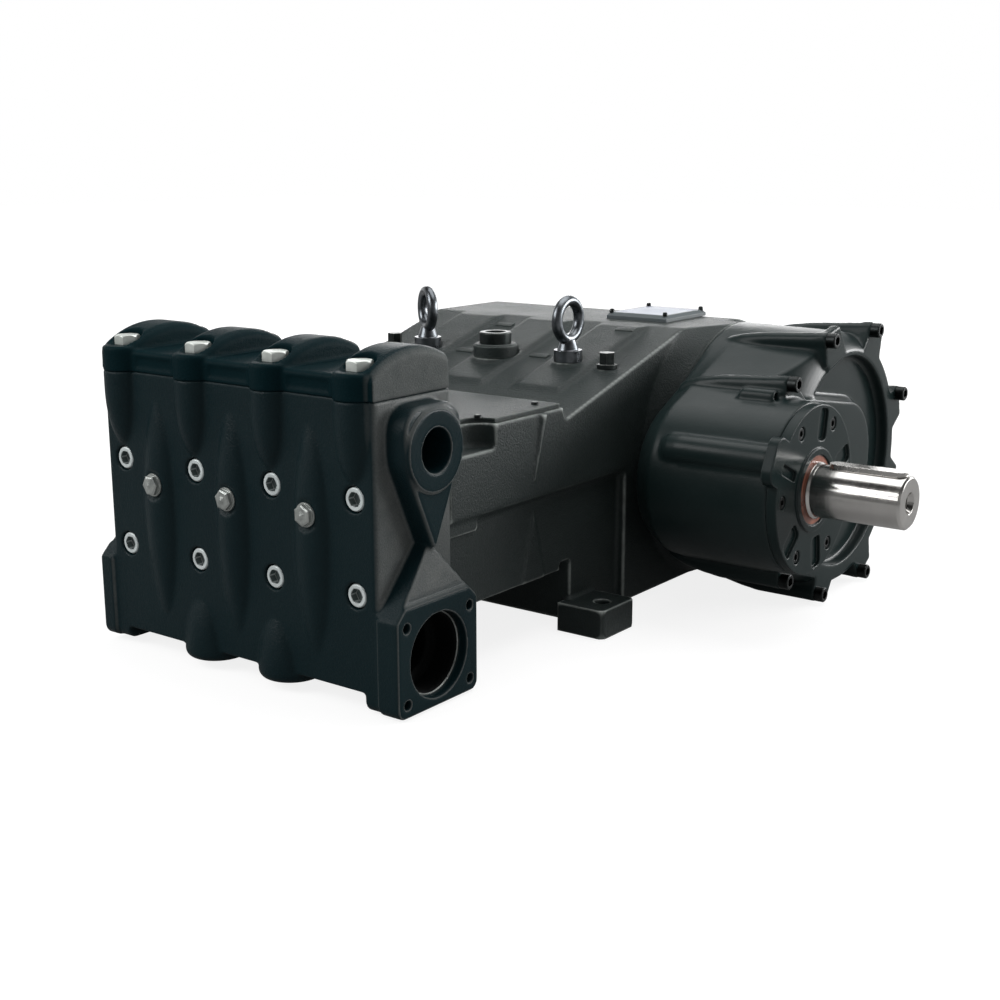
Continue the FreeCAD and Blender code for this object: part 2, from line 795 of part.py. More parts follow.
# Outline of the bell at one station: flat top, bowed front and round rear
def bell_wire(x, flat_end_y, front_y, front_z):
    top = vec(x, crank_y, case_top_z)
    flat_end = vec(x, flat_end_y, case_top_z)
    low = vec(x, crank_y, case_floor_z)
    edges = [
        Part.makeLine(top, flat_end),
        Part.Arc(flat_end, vec(x, front_y, front_z), low).toShape(),
        Part.Arc(low, vec(x, case_rear_y, crank_height), top).toShape(),
    ]
    return Part.Wire(edges)


# Bell that carries the gearbox: wide at the side wall, round at the joint face
def adapter():
    root = bell_wire(side_x, slope_end_y, crank_y - bell_root_reach, crank_height + bell_root_lift)
    joint = bell_wire(adapter_x, crank_y - joint_flat, crank_y - case_round, crank_height)
    return Part.makeLoft([root, joint], True, True)


# Long raised pad up the slope, over each cylinder
def slope_pad(x):
    y0 = slope_foot_y + pad_start
    low_z = slope_height(y0)
    points = [
        (y0 - 14, low_z - 10),
        (y0 + 6, low_z + pad_rise),
        (slope_end_y - 20, slope_height(slope_end_y - 20) + pad_rise),
        (slope_end_y + 8, case_top_z),
        (slope_end_y + 8, low_z - 10),
    ]
    pad = prism_x(points, x - pad_half_width, x + pad_half_width)

    def long_edge(edge):
        return middle(edge).z > low_z + pad_rise and edge.Length > 60 and abs(middle(edge).x - x) > 5

    return softened(pad, pad_edge_round, long_edge)


# Tapered rib on the side wall, leaning back towards its wider top
def side_rib():
    low = vec(side_x, feet_front_y - side_rib_setback - side_rib_lean, side_rib_low_z)
    rise = vec(0, side_rib_lean, platform_z - side_rib_low_z - 2)
    return Part.makeCone(side_rib_low_radius, side_rib_radius, rise.Length, low, rise)


# Thick root of the ledge, next to the head
def ledge_step():
    x0 = side_x - wall_inset - 1
    y1 = head_rear_y + ledge_step_length
    z0 = ledge_z - ledge_step_drop
    step = block(x0, side_x - ledge_step_inset, head_rear_y, y1, z0, ledge_z)
    return softened(step, step_round, lambda e: abs(middle(e).z - z0) < 0.1 and abs(middle(e).y - y1) < 0.1)


# Shallow pad on the lower side wall, narrowing to its tip
def wall_pad():
    tip_y = feet_front_y - wall_pad_setback
    points = [
        (tip_y, wall_pad_top_z),
        (tip_y + wall_pad_half_width, crosshead_floor_z),
        (tip_y - wall_pad_half_width, crosshead_floor_z),
    ]
    x0 = side_x - wall_inset
    return prism_x(points, x0 - 1, x0 + wall_pad_rise)


def fitting_seat(x, radius, z):
    return rod_z(radius, slope_height(fitting_y) - seat_bury, z, x, fitting_y)


# Room above a fitting's seat, cut level into the slope
def seat_room(x, radius, z):
    return rod_z(radius + seat_margin, z, case_top_z + seat_clear_height, x, fitting_y)


def crankcase():
    body = case_profile().extrude(vec(2 * side_x, 0, 0))
    body.translate(vec(-side_x, 0, 0))
    cuts = [ledge_cut(), side_pocket()]
    body = body.cut(Part.makeCompound(cuts + [mirrored(cut) for cut in cuts]))
    pieces = [body, adapter()]
    for detail in (side_rib(), ledge_step(), wall_pad()):
        pieces += [detail, mirrored(detail)]
    pieces += [slope_pad(x) for x in cylinder_xs]
    pieces += [foot(x_side, y_side) for x_side in (-1, 1) for y_side in (-1, 1)]
    seats = [(x, eye_collar_radius, seat_z) for x in (-eye_bolt_x, eye_bolt_x)]
    seats += [(x, breather_collar_radius, breather_seat_z) for x in (-breather_x, breather_x)]
    seats.append((0.0, filler_radius, filler_seat_z))
    pieces += [fitting_seat(x, radius + seat_margin, z) for x, radius, z in seats]
    pieces.append(rod_x(bearing_boss_radius, -bearing_boss_x, -side_x + 1, crank_y, crank_height))
    holes = [seat_room(x, radius, z) for x, radius, z in seats]
    for x in (-foot_bolt_span_x / 2, foot_bolt_span_x / 2):
        for y in (-foot_bolt_span_y / 2, foot_bolt_span_y / 2):
            holes.append(rod_z(foot_bolt_radius, -1, foot_height + 1, x, y))
    return fused(pieces).cut(Part.makeCompound(holes)).removeSplitter()


def inspection_plate():
    x = side_x - plate_margin
    y1 = slope_foot_y - 3
    plate = block(-x, x, head_rear_y, y1, platform_z, platform_z + plate_thickness)
    corner = side_pocket()
    corner.translate(vec(-plate_margin, plate_margin, plate_thickness))
    return plate.cut(corner).cut(mirrored(corner))


def eye_bolt(x, turn):
    collar = rod_z(eye_collar_radius, seat_z, seat_z + eye_collar_height, x, fitting_y)
    shoulder_z = seat_z + eye_collar_height
    neck_foot = vec(x, fitting_y, shoulder_z)
    neck = Part.makeCone(eye_neck_foot_radius, eye_neck_top_radius, eye_neck_height, neck_foot)
    centre = vec(x, fitting_y, shoulder_z + eye_neck_height + eye_ring_radius)
    ring = Part.makeTorus(eye_ring_radius, eye_wire_radius, centre, vec(0, 1, 0))
    ring.rotate(centre, vec(0, 0, 1), turn)
    return fused([collar, neck, ring])


def oil_filler_neck():
    z = filler_seat_z
    neck = rod_z(filler_radius, z, z + filler_height, 0, fitting_y)
    return bevelled(neck, filler_edge, lambda e: middle(e).z > z + filler_height - 1)


def oil_cap():
    z = filler_seat_z + filler_height
    cap = rod_z(cap_radius, z, z + cap_height, 0, fitting_y)
    cap = bevelled(cap, screw_edge, lambda e: middle(e).z > z + cap_height - 1)
    top_z = z + cap_height
    return cap.cut(rod_z(cap_radius - cap_wall, top_z - cap_hollow, top_z + 1, 0, fitting_y))


def breather_plug(x):
    z = breather_seat_z
    collar = rod_z(breather_collar_radius, z, z + breather_collar_height, x, fitting_y)
    head_foot = vec(x, fitting_y, z + breather_collar_height)
    head = hexagon(breather_across, head_foot, vec(0, 0, 1), breather_height)
    return fused([collar, head])


def nameplate():
    x0 = nameplate_x - nameplate_length / 2
    y0 = crank_y - nameplate_width / 2
    top_z = case_top_z + nameplate_thickness
    plate = block(x0, x0 + nameplate_length, y0, y0 + nameplate_width, case_top_z, top_z)
    return plate.makeChamfer(nameplate_chamfer, [e for e in plate.Edges if abs(middle(e).z - top_z) < 0.1])


# Outline of the gearbox at one station: circles round the crank and input axes, joined by their tangents
def pear_wire(x, rear_radius, front_radius):
    sine = (rear_radius - front_radius) / gear_centres
    cosine = math.sqrt(1 - sine * sine)
    rear_top = vec(x, crank_y - rear_radius * sine, crank_height + rear_radius * cosine)
    front_top = vec(x, input_y - front_radius * sine, crank_height + front_radius * cosine)
    rear_low = vec(x, rear_top.y, 2 * crank_height - rear_top.z)
    front_low = vec(x, front_top.y, 2 * crank_height - front_top.z)
    edges = [
        Part.Arc(rear_top, vec(x, crank_y + rear_radius, crank_height), rear_low).toShape(),
        Part.makeLine(rear_low, front_low),
        Part.Arc(front_low, vec(x, input_y - front_radius, crank_height), front_top).toShape(),
        Part.makeLine(front_top, rear_top),
    ]
    return Part.Wire(edges)


# Screws round the gear housing's face: axis, distance from it and angle
def gear_bolts():
    bolts = []
    for angle in [45.0 * k + 22.5 for k in range(8)]:
        if math.cos(math.radians(angle)) > -0.5:
            bolts.append((crank_y, gear_bolt_reach, angle))
    bolts.append((input_y, lobe_bolt_reach, lobe_bolt_angle))
    bolts.append((input_y, lobe_bolt_reach, -lobe_bolt_angle))
    return bolts


def gear_bolt_places():
    places = []
    for centre_y, reach, angle in gear_bolts():
        turn = math.radians(angle)
        places.append((centre_y + reach * math.cos(turn), crank_height + reach * math.sin(turn)))
    return places


# Section of a boss that stands on the housing wall, round outwards
def boss_wire(x, y, crown, base, radius):
    z = crank_height
    left = vec(x, y + crown - radius, z - radius)
    right = vec(x, y + crown - radius, z + radius)
    foot_right = vec(x, y + base, z + radius)
    foot_left = vec(x, y + base, z - radius)
    edges = [
        Part.Arc(left, vec(x, y + crown, z), right).toShape(),
        Part.makeLine(right, foot_right),
        Part.makeLine(foot_right, foot_left),
        Part.makeLine(foot_left, left),
    ]
    return Part.Wire(edges)


# Long boss on the housing wall, lofted through crown heights above its own axis
def gear_boss(centre_y, reach, angle, radius, profile):
    base = reach - boss_depth
    wires = [boss_wire(x, centre_y, reach + height, base, radius) for x, height in profile]
    boss = Part.makeLoft(wires, True, True)
    boss.rotate(vec(0, centre_y, crank_height), vec(1, 0, 0), angle)
    return boss


# Flat lug round a screw on the face, spreading towards its root
def screw_lug(centre_y, reach, angle):
    side = math.copysign(1.0, math.sin(math.radians(angle)))
    root_radius = reach - lug_root_drop
    (root_near, root_far), (tip_near, tip_far) = lug_spread
    corners = [
        (root_radius, root_near),
        (reach + gear_boss_radius, tip_near),
        (reach + gear_boss_radius * 0.6, -tip_far),
        (root_radius, -root_far),
    ]
    points = []
    for radius, spread in corners:
        turn = math.radians(angle + side * spread)
        points.append((centre_y + radius * math.cos(turn), crank_height + radius * math.sin(turn)))
    return prism_x(points, housing_x - lug_thickness, housing_x)


# Rounded hollow swept round the crank axis, in the edge of the housing's face
def face_scoop(radius, reach, length, angles):
    start, end = angles
    outline = [
        (housing_x - length, reach),
        (housing_x - length * 0.36, radius + (reach - radius) * 0.6),
        (housing_x, radius),
        (housing_x + 1, radius),
        (housing_x + 1, reach + 3),
        (housing_x - length, reach + 3),
    ]
    points = [vec(x, crank_y + r, crank_height) for x, r in outline]
    edges = [Part.Arc(*points[:3]).toShape()]
    edges += [Part.makeLine(a, b) for a, b in zip(points[2:], points[3:] + points[:1])]
    face = Part.Face(Part.Wire(edges))
    face.rotate(vec(0, crank_y, crank_height), vec(1, 0, 0), start)
    return face.revolve(vec(0, crank_y, crank_height), vec(1, 0, 0), end - start)


def gear_housing():
    swell = lobe_radius - lobe_root_radius
    wall = housing_radius - housing_draft
    shoulder_x = housing_x - shoulder_length
    stations = [
        pear_wire(adapter_x, housing_radius, lobe_root_radius),
        pear_wire(adapter_x + lobe_back * 0.25, housing_radius - 0.5, lobe_root_radius + swell * 0.55),
        pear_wire(adapter_x + lobe_back, housing_radius - 1, lobe_radius - 1),
        pear_wire(shoulder_x, wall, lobe_radius),
        pear_wire(shoulder_x + shoulder_length * 0.5, wall - shoulder_width * 0.2, lobe_radius),
        pear_wire(housing_x, wall - shoulder_width, lobe_radius),
    ]
    body = fused([Part.makeLoft(stations[k : k + 2], True, True) for k in range(len(stations) - 1)])
    hub = Part.Face(pear_wire(housing_x - 60, hub_radius, lobe_radius + 1)).extrude(vec(62, 0, 0))
    front_reach = housing_radius + front_scoop_reach
    scoops = [
        face_scoop(scoop_radius, housing_radius - 1, scoop_length, scoop_angles),
        face_scoop(front_scoop_radius, front_reach, front_scoop_length, front_scoop_angles),
    ]
    body = body.cut(Part.makeCompound(scoops).cut(hub))
    pieces = [body]
    for centre_y, reach, angle in gear_bolts():
        heights = boss_profile if math.sin(math.radians(angle)) > 0 else low_boss_profile
        profile = [(adapter_x + way, height) for way, height in heights]
        profile.append((housing_x, gear_boss_radius))
        pieces.append(gear_boss(centre_y, reach, angle, gear_boss_radius, profile))
        pieces.append(screw_lug(centre_y, reach, angle))
    small_x = housing_x - small_boss_set_back
    root_x = small_x - small_boss_length
    profile = [(root_x, small_boss_radius - 3), (root_x + 4, small_boss_radius), (small_x, small_boss_radius)]
    pieces.append(gear_boss(input_y, small_boss_reach, small_boss_angle, small_boss_radius, profile))
    duct_x = adapter_x + duct_start
    profile = [
        (duct_x, -duct_radius * 0.6),
        (duct_x + duct_nose / 5, duct_radius * 0.4),
        (duct_x + duct_nose / 2, duct_radius * 0.8),
        (duct_x + duct_nose, duct_radius),
        (flange_root_x, duct_radius),
    ]
    pieces.append(gear_boss(input_y, duct_reach, duct_angle, duct_radius, profile))
    pieces.append(rod_x(lobe_radius - 0.2, housing_x - 30, flange_root_x, input_y, crank_height))
    floor = block(adapter_x, housing_x + 1, -crank_y, 4 * crank_y, -gear_centres, housing_floor_z)
    shape = fused(pieces).cut(floor)
    bore_x = flange_x - shaft_depth
    bore = rod_x(journal_radius + running_clearance, bore_x, flange_root_x + 1, input_y, crank_height)
    floor_x = housing_x - recess_depth
    hub_foot = pear_wire(floor_x, hub_radius + hub_draft, lobe_radius + 1 + hub_draft)
    hub_crown = pear_wire(housing_x + 1, hub_radius, lobe_radius + 1)
    face = rod_x(wall - shoulder_width - rim_width, floor_x, housing_x + 1, crank_y, crank_height)
    face = face.cut(Part.makeLoft([hub_foot, hub_crown], True, True))
    turn = math.radians(small_boss_angle)
    small_y = input_y + small_boss_reach * math.cos(turn)
    small_z = crank_height + small_boss_reach * math.sin(turn)
    small_hole = rod_x(small_hole_radius, small_x - small_hole_depth, small_x + 1, small_y, small_z)
    return shape.cut(Part.makeCompound([bore, face, small_hole])).removeSplitter()


def gear_screw(y, z):
    x1 = housing_x + gear_screw_head_height
    head = rod_x(gear_screw_head_radius, housing_x, x1, y, z)
    head = bevelled(head, gear_screw_edge, lambda e: abs(middle(e).x - x1) < 0.1)
    socket_seat = vec(housing_x + 5, y, z)
    return head.cut(hexagon(gear_socket_across, socket_seat, vec(1, 0, 0), gear_screw_head_height))


# Radial slot in the flange's face, round at its ends
def flange_slot(angle, width):
    x0 = flange_x - input_slot_depth
    y0 = input_y + input_slot_start
    z = crank_height
    y1 = input_y + input_slot_end
    depth = flange_x + 1 - x0
    slot = block(x0, flange_x + 1, y0, y1, z - width / 2, z + width / 2)
    slot = softened(slot, width * 0.3, lambda e: abs(e.Length - depth) < 0.1 and abs(middle(e).z - z) > 1)
    slot.rotate(vec(0, input_y, z), vec(1, 0, 0), angle)
    return slot


# Ear of the flange, over the end of the housing's duct
def flange_ear():
    y1 = input_y + ear_reach
    z = crank_height
    y0 = input_y + lobe_root_radius
    ear = block(flange_root_x, flange_x, y0, y1, z - ear_half_width, z + ear_half_width)
    ear = softened(ear, ear_round, lambda e: abs(middle(e).y - y1) < 0.1 and abs(middle(e).z - z) > 1)
    ear.rotate(vec(0, input_y, z), vec(1, 0, 0), duct_angle + 1.5)
    return ear


def input_flange():
    disc = rod_x(input_flange_radius, flange_root_x, flange_x, input_y, crank_height).fuse(flange_ear())
    cuts = [flange_slot(angle, input_slot_width) for angle in input_slot_angles]
    cuts.append(flange_slot(duct_angle + 4, duct_slot_width))
    room_x = flange_x - input_head_sunk - input_head_height
    for y, z in input_screw_places():
        cuts.append(rod_x(input_head_radius + counterbore_clearance, room_x, flange_x + 1, y, z))
    disc = disc.cut(Part.makeCompound(cuts))
    ring_x = flange_x + seal_ring_rise
    ring = rod_x(seal_ring_radius, flange_root_x, ring_x, input_y, crank_height)
    seat = rod_x(seal_radius, flange_x - seal_thickness, ring_x + 1, input_y, crank_height)
    bore = rod_x(journal_radius + running_clearance, flange_root_x - 1, ring_x + 1, input_y, crank_height)
    return disc.fuse(ring).cut(seat.fuse(bore)).removeSplitter()


def input_screw_places():
    return circle_places(input_y, crank_height, input_bolt_circle, 6, 0)


def input_screw(y, z):
    x1 = flange_x - input_head_sunk
    head = rod_x(input_head_radius, x1 - input_head_height, x1, y, z)
    socket_seat = vec(x1 - input_head_height / 2, y, z)
    return head.cut(hexagon(input_socket_across, socket_seat, vec(1, 0, 0), input_head_height))


def shaft_seal():
    outer = rod_x(seal_radius, flange_x - seal_thickness, flange_x, input_y, crank_height)
    return outer.cut(rod_x(journal_radius + running_clearance, 0, shaft_end_x, input_y, crank_height))


def shaft_key():
    x1 = shaft_end_x - key_end
    x0 = x1 - key_length
    z1 = crank_height + shaft_radius + key_rise
    z0 = z1 - key_height
    half = key_width / 2
    bar = block(x0 + half, x1 - half, input_y - half, input_y + half, z0, z1)
    ends = [rod_z(half, z0, z1, x, input_y) for x in (x0 + half, x1 - half)]
    return fused([bar] + ends)


def input_shaft():
    journal = rod_x(journal_radius, flange_x - shaft_depth + 1, journal_x, input_y, crank_height)
    cone = Part.makeCone(
        journal_radius, shaft_radius, journal_step, vec(journal_x, input_y, crank_height), vec(1, 0, 0)
    )
    end = rod_x(shaft_radius, journal_x + journal_step, shaft_end_x, input_y, crank_height)
    end = end.makeChamfer(shaft_chamfer, [e for e in end.Edges if abs(middle(e).x - shaft_end_x) < 0.1])
    shaft = fused([journal, cone, end])
    hole_x = shaft_end_x - centre_cone_depth
    hole = rod_x(centre_hole_radius, hole_x - centre_hole_depth, shaft_end_x, input_y, crank_height)
    cone_foot = vec(hole_x, input_y, crank_height)
    cone = Part.makeCone(centre_hole_radius, centre_cone_radius, centre_cone_depth, cone_foot, vec(1, 0, 0))
    return shaft.cut(shaft_key()).cut(hole.fuse(cone))


def bearing_cover():
    x1 = -bearing_boss_x
    x0 = x1 - bearing_cover_thickness
    disc = rod_x(bearing_cover_radius, x0, x1, crank_y, crank_height)
    return bevelled(disc, bearing_cover_edge, lambda e: abs(middle(e).x - x0) < 0.1)


def bearing_screw(y, z):
    x = -bearing_boss_x - bearing_cover_thickness
    return hexagon(bearing_screw_across, vec(x, y, z), vec(-1, 0, 0), bearing_screw_height)


def rear_cover():
    x = side_x - foot_root - rear_cover_gap
    y1 = rear_face_y
    plate = block(-x, x, case_rear_y, y1, rear_cover_low_z, rear_cover_top_z)
    return softened(plate, rear_cover_round, lambda e: abs(e.Length - rear_cover_thickness) < 0.1)


def rear_cover_screw_places():
    x = side_x - foot_root - rear_cover_gap - rear_screw_margin
    z0 = rear_cover_low_z + rear_screw_margin
    z1 = rear_cover_top_z - rear_screw_margin
    return [(k * x / 2, z) for k in (-2, -1, 0, 1, 2) for z in (z0, z1)]


def rear_screw(x, z):
    return hexagon(rear_screw_across, vec(x, rear_face_y, z), vec(0, 1, 0), rear_screw_height)


# Screwed plug in the rear cover, a hexagon on a round collar
def rear_plug(x, z):
    head = hexagon(rear_plug_across, vec(x, rear_face_y, z), vec(0, 1, 0), rear_plug_height)
    collar_radius = rear_plug_across / 2 + rear_plug_collar_width
    return head.fuse(rod_y(collar_radius, rear_face_y, rear_face_y + rear_plug_collar_height, x, z))


def compound(shapes):
    return Part.makeCompound(shapes)


def main():
    os.makedirs("parts", exist_ok=True)
    save("fluid_head", fluid_head())
    save("top_cover", top_cover())
    save("top_cover_bolts", compound([cover_bolt(x, y) for x, y in cover_bolt_places()]))
    save("head_screws", compound([socket_screw(x, z) for x, z in screw_places()]))
    save("front_plugs", compound([front_plug(x) for x in cylinder_xs]))
    save("outlet_plug", outlet_plug())
    save("crankcase", crankcase())
    save("inspection_plate", inspection_plate())
    save("eye_bolt_left", eye_bolt(-eye_bolt_x, left_eye_angle))
    save("eye_bolt_right", eye_bolt(eye_bolt_x, right_eye_angle))
    save("oil_filler_neck", oil_filler_neck())
    save("oil_cap", oil_cap())
    save("breather_plug_left", breather_plug(-breather_x))
    save("breather_plug_right", breather_plug(breather_x))
    save("nameplate", nameplate())
    save("gear_housing", gear_housing())
    save("gear_housing_screws", compound([gear_screw(y, z) for y, z in gear_bolt_places()]))
    save("input_flange", input_flange())
    save("input_flange_screws", compound([input_screw(y, z) for y, z in input_screw_places()]))
    save("shaft_seal", shaft_seal())
    save("input_shaft", input_shaft())
    save("shaft_key", shaft_key())
    save("bearing_cover", bearing_cover())
    bearing_bolts = circle_places(crank_y, crank_height, bearing_bolt_circle / 2, 8, 22.5)
    save("bearing_cover_screws", compound([bearing_screw(y, z) for y, z in bearing_bolts]))
    save("rear_cover", rear_cover())
    rear_screws = [rear_screw(x, z) for x, z in rear_cover_screw_places()]
    save("rear_cover_screws", compound(rear_screws))
    middle_z = (case_floor_z + crank_height) / 2
    save("oil_level_plug", rear_plug(level_plug_x, middle_z))
    save("oil_drain_plug", rear_plug(0.0, rear_cover_low_z + drain_plug_lift))


main()
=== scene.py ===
import math

import bmesh
import bpy
import numpy as np
from mathutils import Matrix, Vector


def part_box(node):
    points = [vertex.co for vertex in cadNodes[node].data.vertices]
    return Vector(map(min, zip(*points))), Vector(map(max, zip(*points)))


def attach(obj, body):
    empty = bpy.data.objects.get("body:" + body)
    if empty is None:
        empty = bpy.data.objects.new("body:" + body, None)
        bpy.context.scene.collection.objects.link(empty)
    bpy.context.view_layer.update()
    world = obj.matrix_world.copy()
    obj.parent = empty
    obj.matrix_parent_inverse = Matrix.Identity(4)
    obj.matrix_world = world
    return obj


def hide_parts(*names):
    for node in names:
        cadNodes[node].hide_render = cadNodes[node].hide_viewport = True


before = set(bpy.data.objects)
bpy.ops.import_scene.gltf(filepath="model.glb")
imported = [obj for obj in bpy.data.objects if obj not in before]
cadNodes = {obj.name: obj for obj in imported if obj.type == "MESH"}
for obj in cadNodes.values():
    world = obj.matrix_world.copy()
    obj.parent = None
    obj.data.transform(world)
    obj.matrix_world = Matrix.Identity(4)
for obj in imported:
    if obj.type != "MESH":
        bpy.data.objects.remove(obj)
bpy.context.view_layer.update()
scene = bpy.context.scene
print("pump: frame loaded,", len(cadNodes), "nodes")

# Places on the pump in metres, used by several looks and pieces
pitch = 0.112  # from cylinder to cylinder
screwRows = 0.0963
crankZ = 0.1675
inputY = -0.0825
crankY = 0.0875
valveZ = 0.1945
portY = -0.5205
outletZ = 0.261
headTopZ = 0.312
fittingY = -0.131
lidFrontY = -0.266
lidFrontZ = 0.2505
seatDepth = 0.0004  # how deep small pieces sit in what holds them
mergeDistance = 1e-6
sharpAngle = 35.0


# Camera at the height and angle of the view
cameraSetup = {
    "place": (1.1063, -1.5962, 0.5407),
    "azimuth": 36.89,
    "elevation": 13.3,
    "roll": -0.1,
    "lens": 53.2,
}


def makeCamera(setup):
    data = bpy.data.cameras.new("pumpCamera")
    data.lens = setup["lens"]
    data.sensor_width = 36.0
    data.clip_start = 0.05
    data.clip_end = 60.0
    camera = bpy.data.objects.new("pumpCamera", data)
    scene.collection.objects.link(camera)
    turn = Matrix.Rotation(math.radians(setup["azimuth"]), 4, "Z")
    tilt = Matrix.Rotation(math.radians(90.0 - setup["elevation"]), 4, "X")
    roll = Matrix.Rotation(math.radians(setup["roll"]), 4, "Z")
    camera.matrix_world = Matrix.Translation(setup["place"]) @ turn @ tilt @ roll
    scene.camera = camera


makeCamera(cameraSetup)
scene.view_settings.view_transform = "Standard"


# Small helpers for shader trees
def addNode(tree, kind, **values):
    node = tree.nodes.new(kind)
    for key, value in values.items():
        if hasattr(node, key):
            setattr(node, key, value)
        else:
            node.inputs[key.replace("_", " ")].default_value = value
    return node


def mathNode(tree, operation, first, second=None, clamp=False):
    node = tree.nodes.new("ShaderNodeMath")
    node.operation = operation
    node.use_clamp = clamp
    for socket, value in zip(node.inputs, (first, second)):
        if value is None:
            continue
        if isinstance(value, (int, float)):
            socket.default_value = value
        else:
            tree.links.new(value, socket)
    return node.outputs[0]


def rangeNode(tree, value, fromLow, fromHigh, toLow=0.0, toHigh=1.0):
    node = tree.nodes.new("ShaderNodeMapRange")
    node.clamp = True
    tree.links.new(value, node.inputs["Value"])
    for name, number in zip(("From Min", "From Max", "To Min", "To Max"), (fromLow, fromHigh, toLow, toHigh)):
        node.inputs[name].default_value = number
    return node.outputs["Result"]


def mixColour(tree, factor, low, high):
    node = tree.nodes.new("ShaderNodeMix")
    node.data_type = "RGBA"
    for socket, value in ((node.inputs[0], factor), (node.inputs[6], low), (node.inputs[7], high)):
        if isinstance(value, (int, float)):
            socket.default_value = value
        elif isinstance(value, tuple):
            socket.default_value = (*value, 1.0)
        else:
            tree.links.new(value, socket)
    return node.outputs[2]


def mixValue(tree, factor, low, high):
    node = tree.nodes.new("ShaderNodeMix")
    for socket, value in ((node.inputs[0], factor), (node.inputs[2], low), (node.inputs[3], high)):
        if isinstance(value, (int, float)):
            socket.default_value = value
        else:
            tree.links.new(value, socket)
    return node.outputs[0]


def objectPlace(tree):
    return addNode(tree, "ShaderNodeTexCoord").outputs["Object"]


def splitPlace(tree):
    place = addNode(tree, "ShaderNodeSeparateXYZ")
    tree.links.new(objectPlace(tree), place.inputs[0])
    return place


def newGroup(name, inputs, outputs):
    group = bpy.data.node_groups.new(name, "ShaderNodeTree")
    for label, kind, value in inputs:
        socket = group.interface.new_socket(label, in_out="INPUT", socket_type=kind)
        if value is not None:
            socket.default_value = value
    for label, kind in outputs:
        group.interface.new_socket(label, in_out="OUTPUT", socket_type=kind)
    return group, group.nodes.new("NodeGroupInput"), group.nodes.new("NodeGroupOutput")


# Sand-cast skin: fine grain and slow waves for the height, blotches for the colour
def makeCastSkin():
    group, given, out = newGroup(
        "castSkin",
        [
            ("Grain", "NodeSocketFloat", 420.0),
            ("Waviness", "NodeSocketFloat", 28.0),
            ("Grain Share", "NodeSocketFloat", 0.5),
        ],
        [("Height", "NodeSocketFloat"), ("Blotch", "NodeSocketFloat")],
    )
    place = objectPlace(group)
    grain = addNode(group, "ShaderNodeTexNoise", Detail=4.0, Roughness=0.62)
    wave = addNode(group, "ShaderNodeTexNoise", Detail=3.0, Roughness=0.5)
    blotch = addNode(group, "ShaderNodeTexNoise", Scale=9.0, Detail=5.0, Roughness=0.6)
    for node in (grain, wave, blotch):
        group.links.new(place, node.inputs["Vector"])
    group.links.new(given.outputs["Grain"], grain.inputs["Scale"])
    group.links.new(given.outputs["Waviness"], wave.inputs["Scale"])
    grainPart = mathNode(group, "MULTIPLY", grain.outputs["Fac"], given.outputs["Grain Share"])
    group.links.new(mathNode(group, "ADD", grainPart, wave.outputs["Fac"]), out.inputs["Height"])
    group.links.new(rangeNode(group, blotch.outputs["Fac"], 0.32, 0.68), out.inputs["Blotch"])
    return group


# Rounded edges for the light, and a mask where an edge is
def makeSoftEdge():
    group, given, out = newGroup(
        "softEdge",
        [("Radius", "NodeSocketFloat", 0.003), ("Sharpness", "NodeSocketFloat", 4.0)],
        [("Normal", "NodeSocketVector"), ("Edge", "NodeSocketFloat")],
    )
    bevel = addNode(group, "ShaderNodeBevel", samples=6)
    group.links.new(given.outputs["Radius"], bevel.inputs["Radius"])
    surface = addNode(group, "ShaderNodeNewGeometry")
    dot = addNode(group, "ShaderNodeVectorMath", operation="DOT_PRODUCT")
    group.links.new(bevel.outputs["Normal"], dot.inputs[0])
    group.links.new(surface.outputs["Normal"], dot.inputs[1])
    bent = mathNode(group, "SUBTRACT", 1.0, dot.outputs["Value"])
    edge = mathNode(group, "MULTIPLY", bent, given.outputs["Sharpness"], clamp=True)
    group.links.new(edge, out.inputs["Edge"])
    group.links.new(bevel.outputs["Normal"], out.inputs["Normal"])
    return group


castSkin = makeCastSkin()
softEdge = makeSoftEdge()


def useGroup(tree, group, **values):
    node = tree.nodes.new("ShaderNodeGroup")
    node.node_tree = group
    for key, value in values.items():
        node.inputs[key.replace("_", " ")].default_value = value
    return node


# A Principled shader with its plain numbers set
def startMaterial(name, roughness, metallic=0.0, specular=0.5):
    material = bpy.data.materials.new(name)
    material.use_nodes = True
    shader = material.node_tree.nodes["Principled BSDF"]
    shader.inputs["Roughness"].default_value = roughness
    shader.inputs["Metallic"].default_value = metallic
    shader.inputs["Specular IOR Level"].default_value = specular
    return material, material.node_tree, shader


def bumpInto(tree, shader, height, normal, strength, distance):
    bump = addNode(tree, "ShaderNodeBump", Strength=strength, Distance=distance)
    tree.links.new(height, bump.inputs["Height"])
    if normal is not None:
        tree.links.new(normal, bump.inputs["Normal"])
    tree.links.new(bump.outputs["Normal"], shader.inputs["Normal"])


# One where a point lies inside a round bore along X
def boreMask(tree, place, y, z, radius):
    across = mathNode(tree, "SUBTRACT", place.outputs["Y"], y)
    up = mathNode(tree, "SUBTRACT", place.outputs["Z"], z)
    acrossSquare = mathNode(tree, "MULTIPLY", across, across)
    upSquare = mathNode(tree, "MULTIPLY", up, up)
    distance = mathNode(tree, "SQRT", mathNode(tree, "ADD", acrossSquare, upSquare))
    return rangeNode(tree, distance, radius - 0.0008, radius, 1.0, 0.0)


# Painted shade: deep in the ports the paint is made near-black and dull in place of the shade there
boreShadePaint = {"colour": (0.0012, 0.0018, 0.0018), "roughness": 0.85, "from": (0.150, 0.152)}
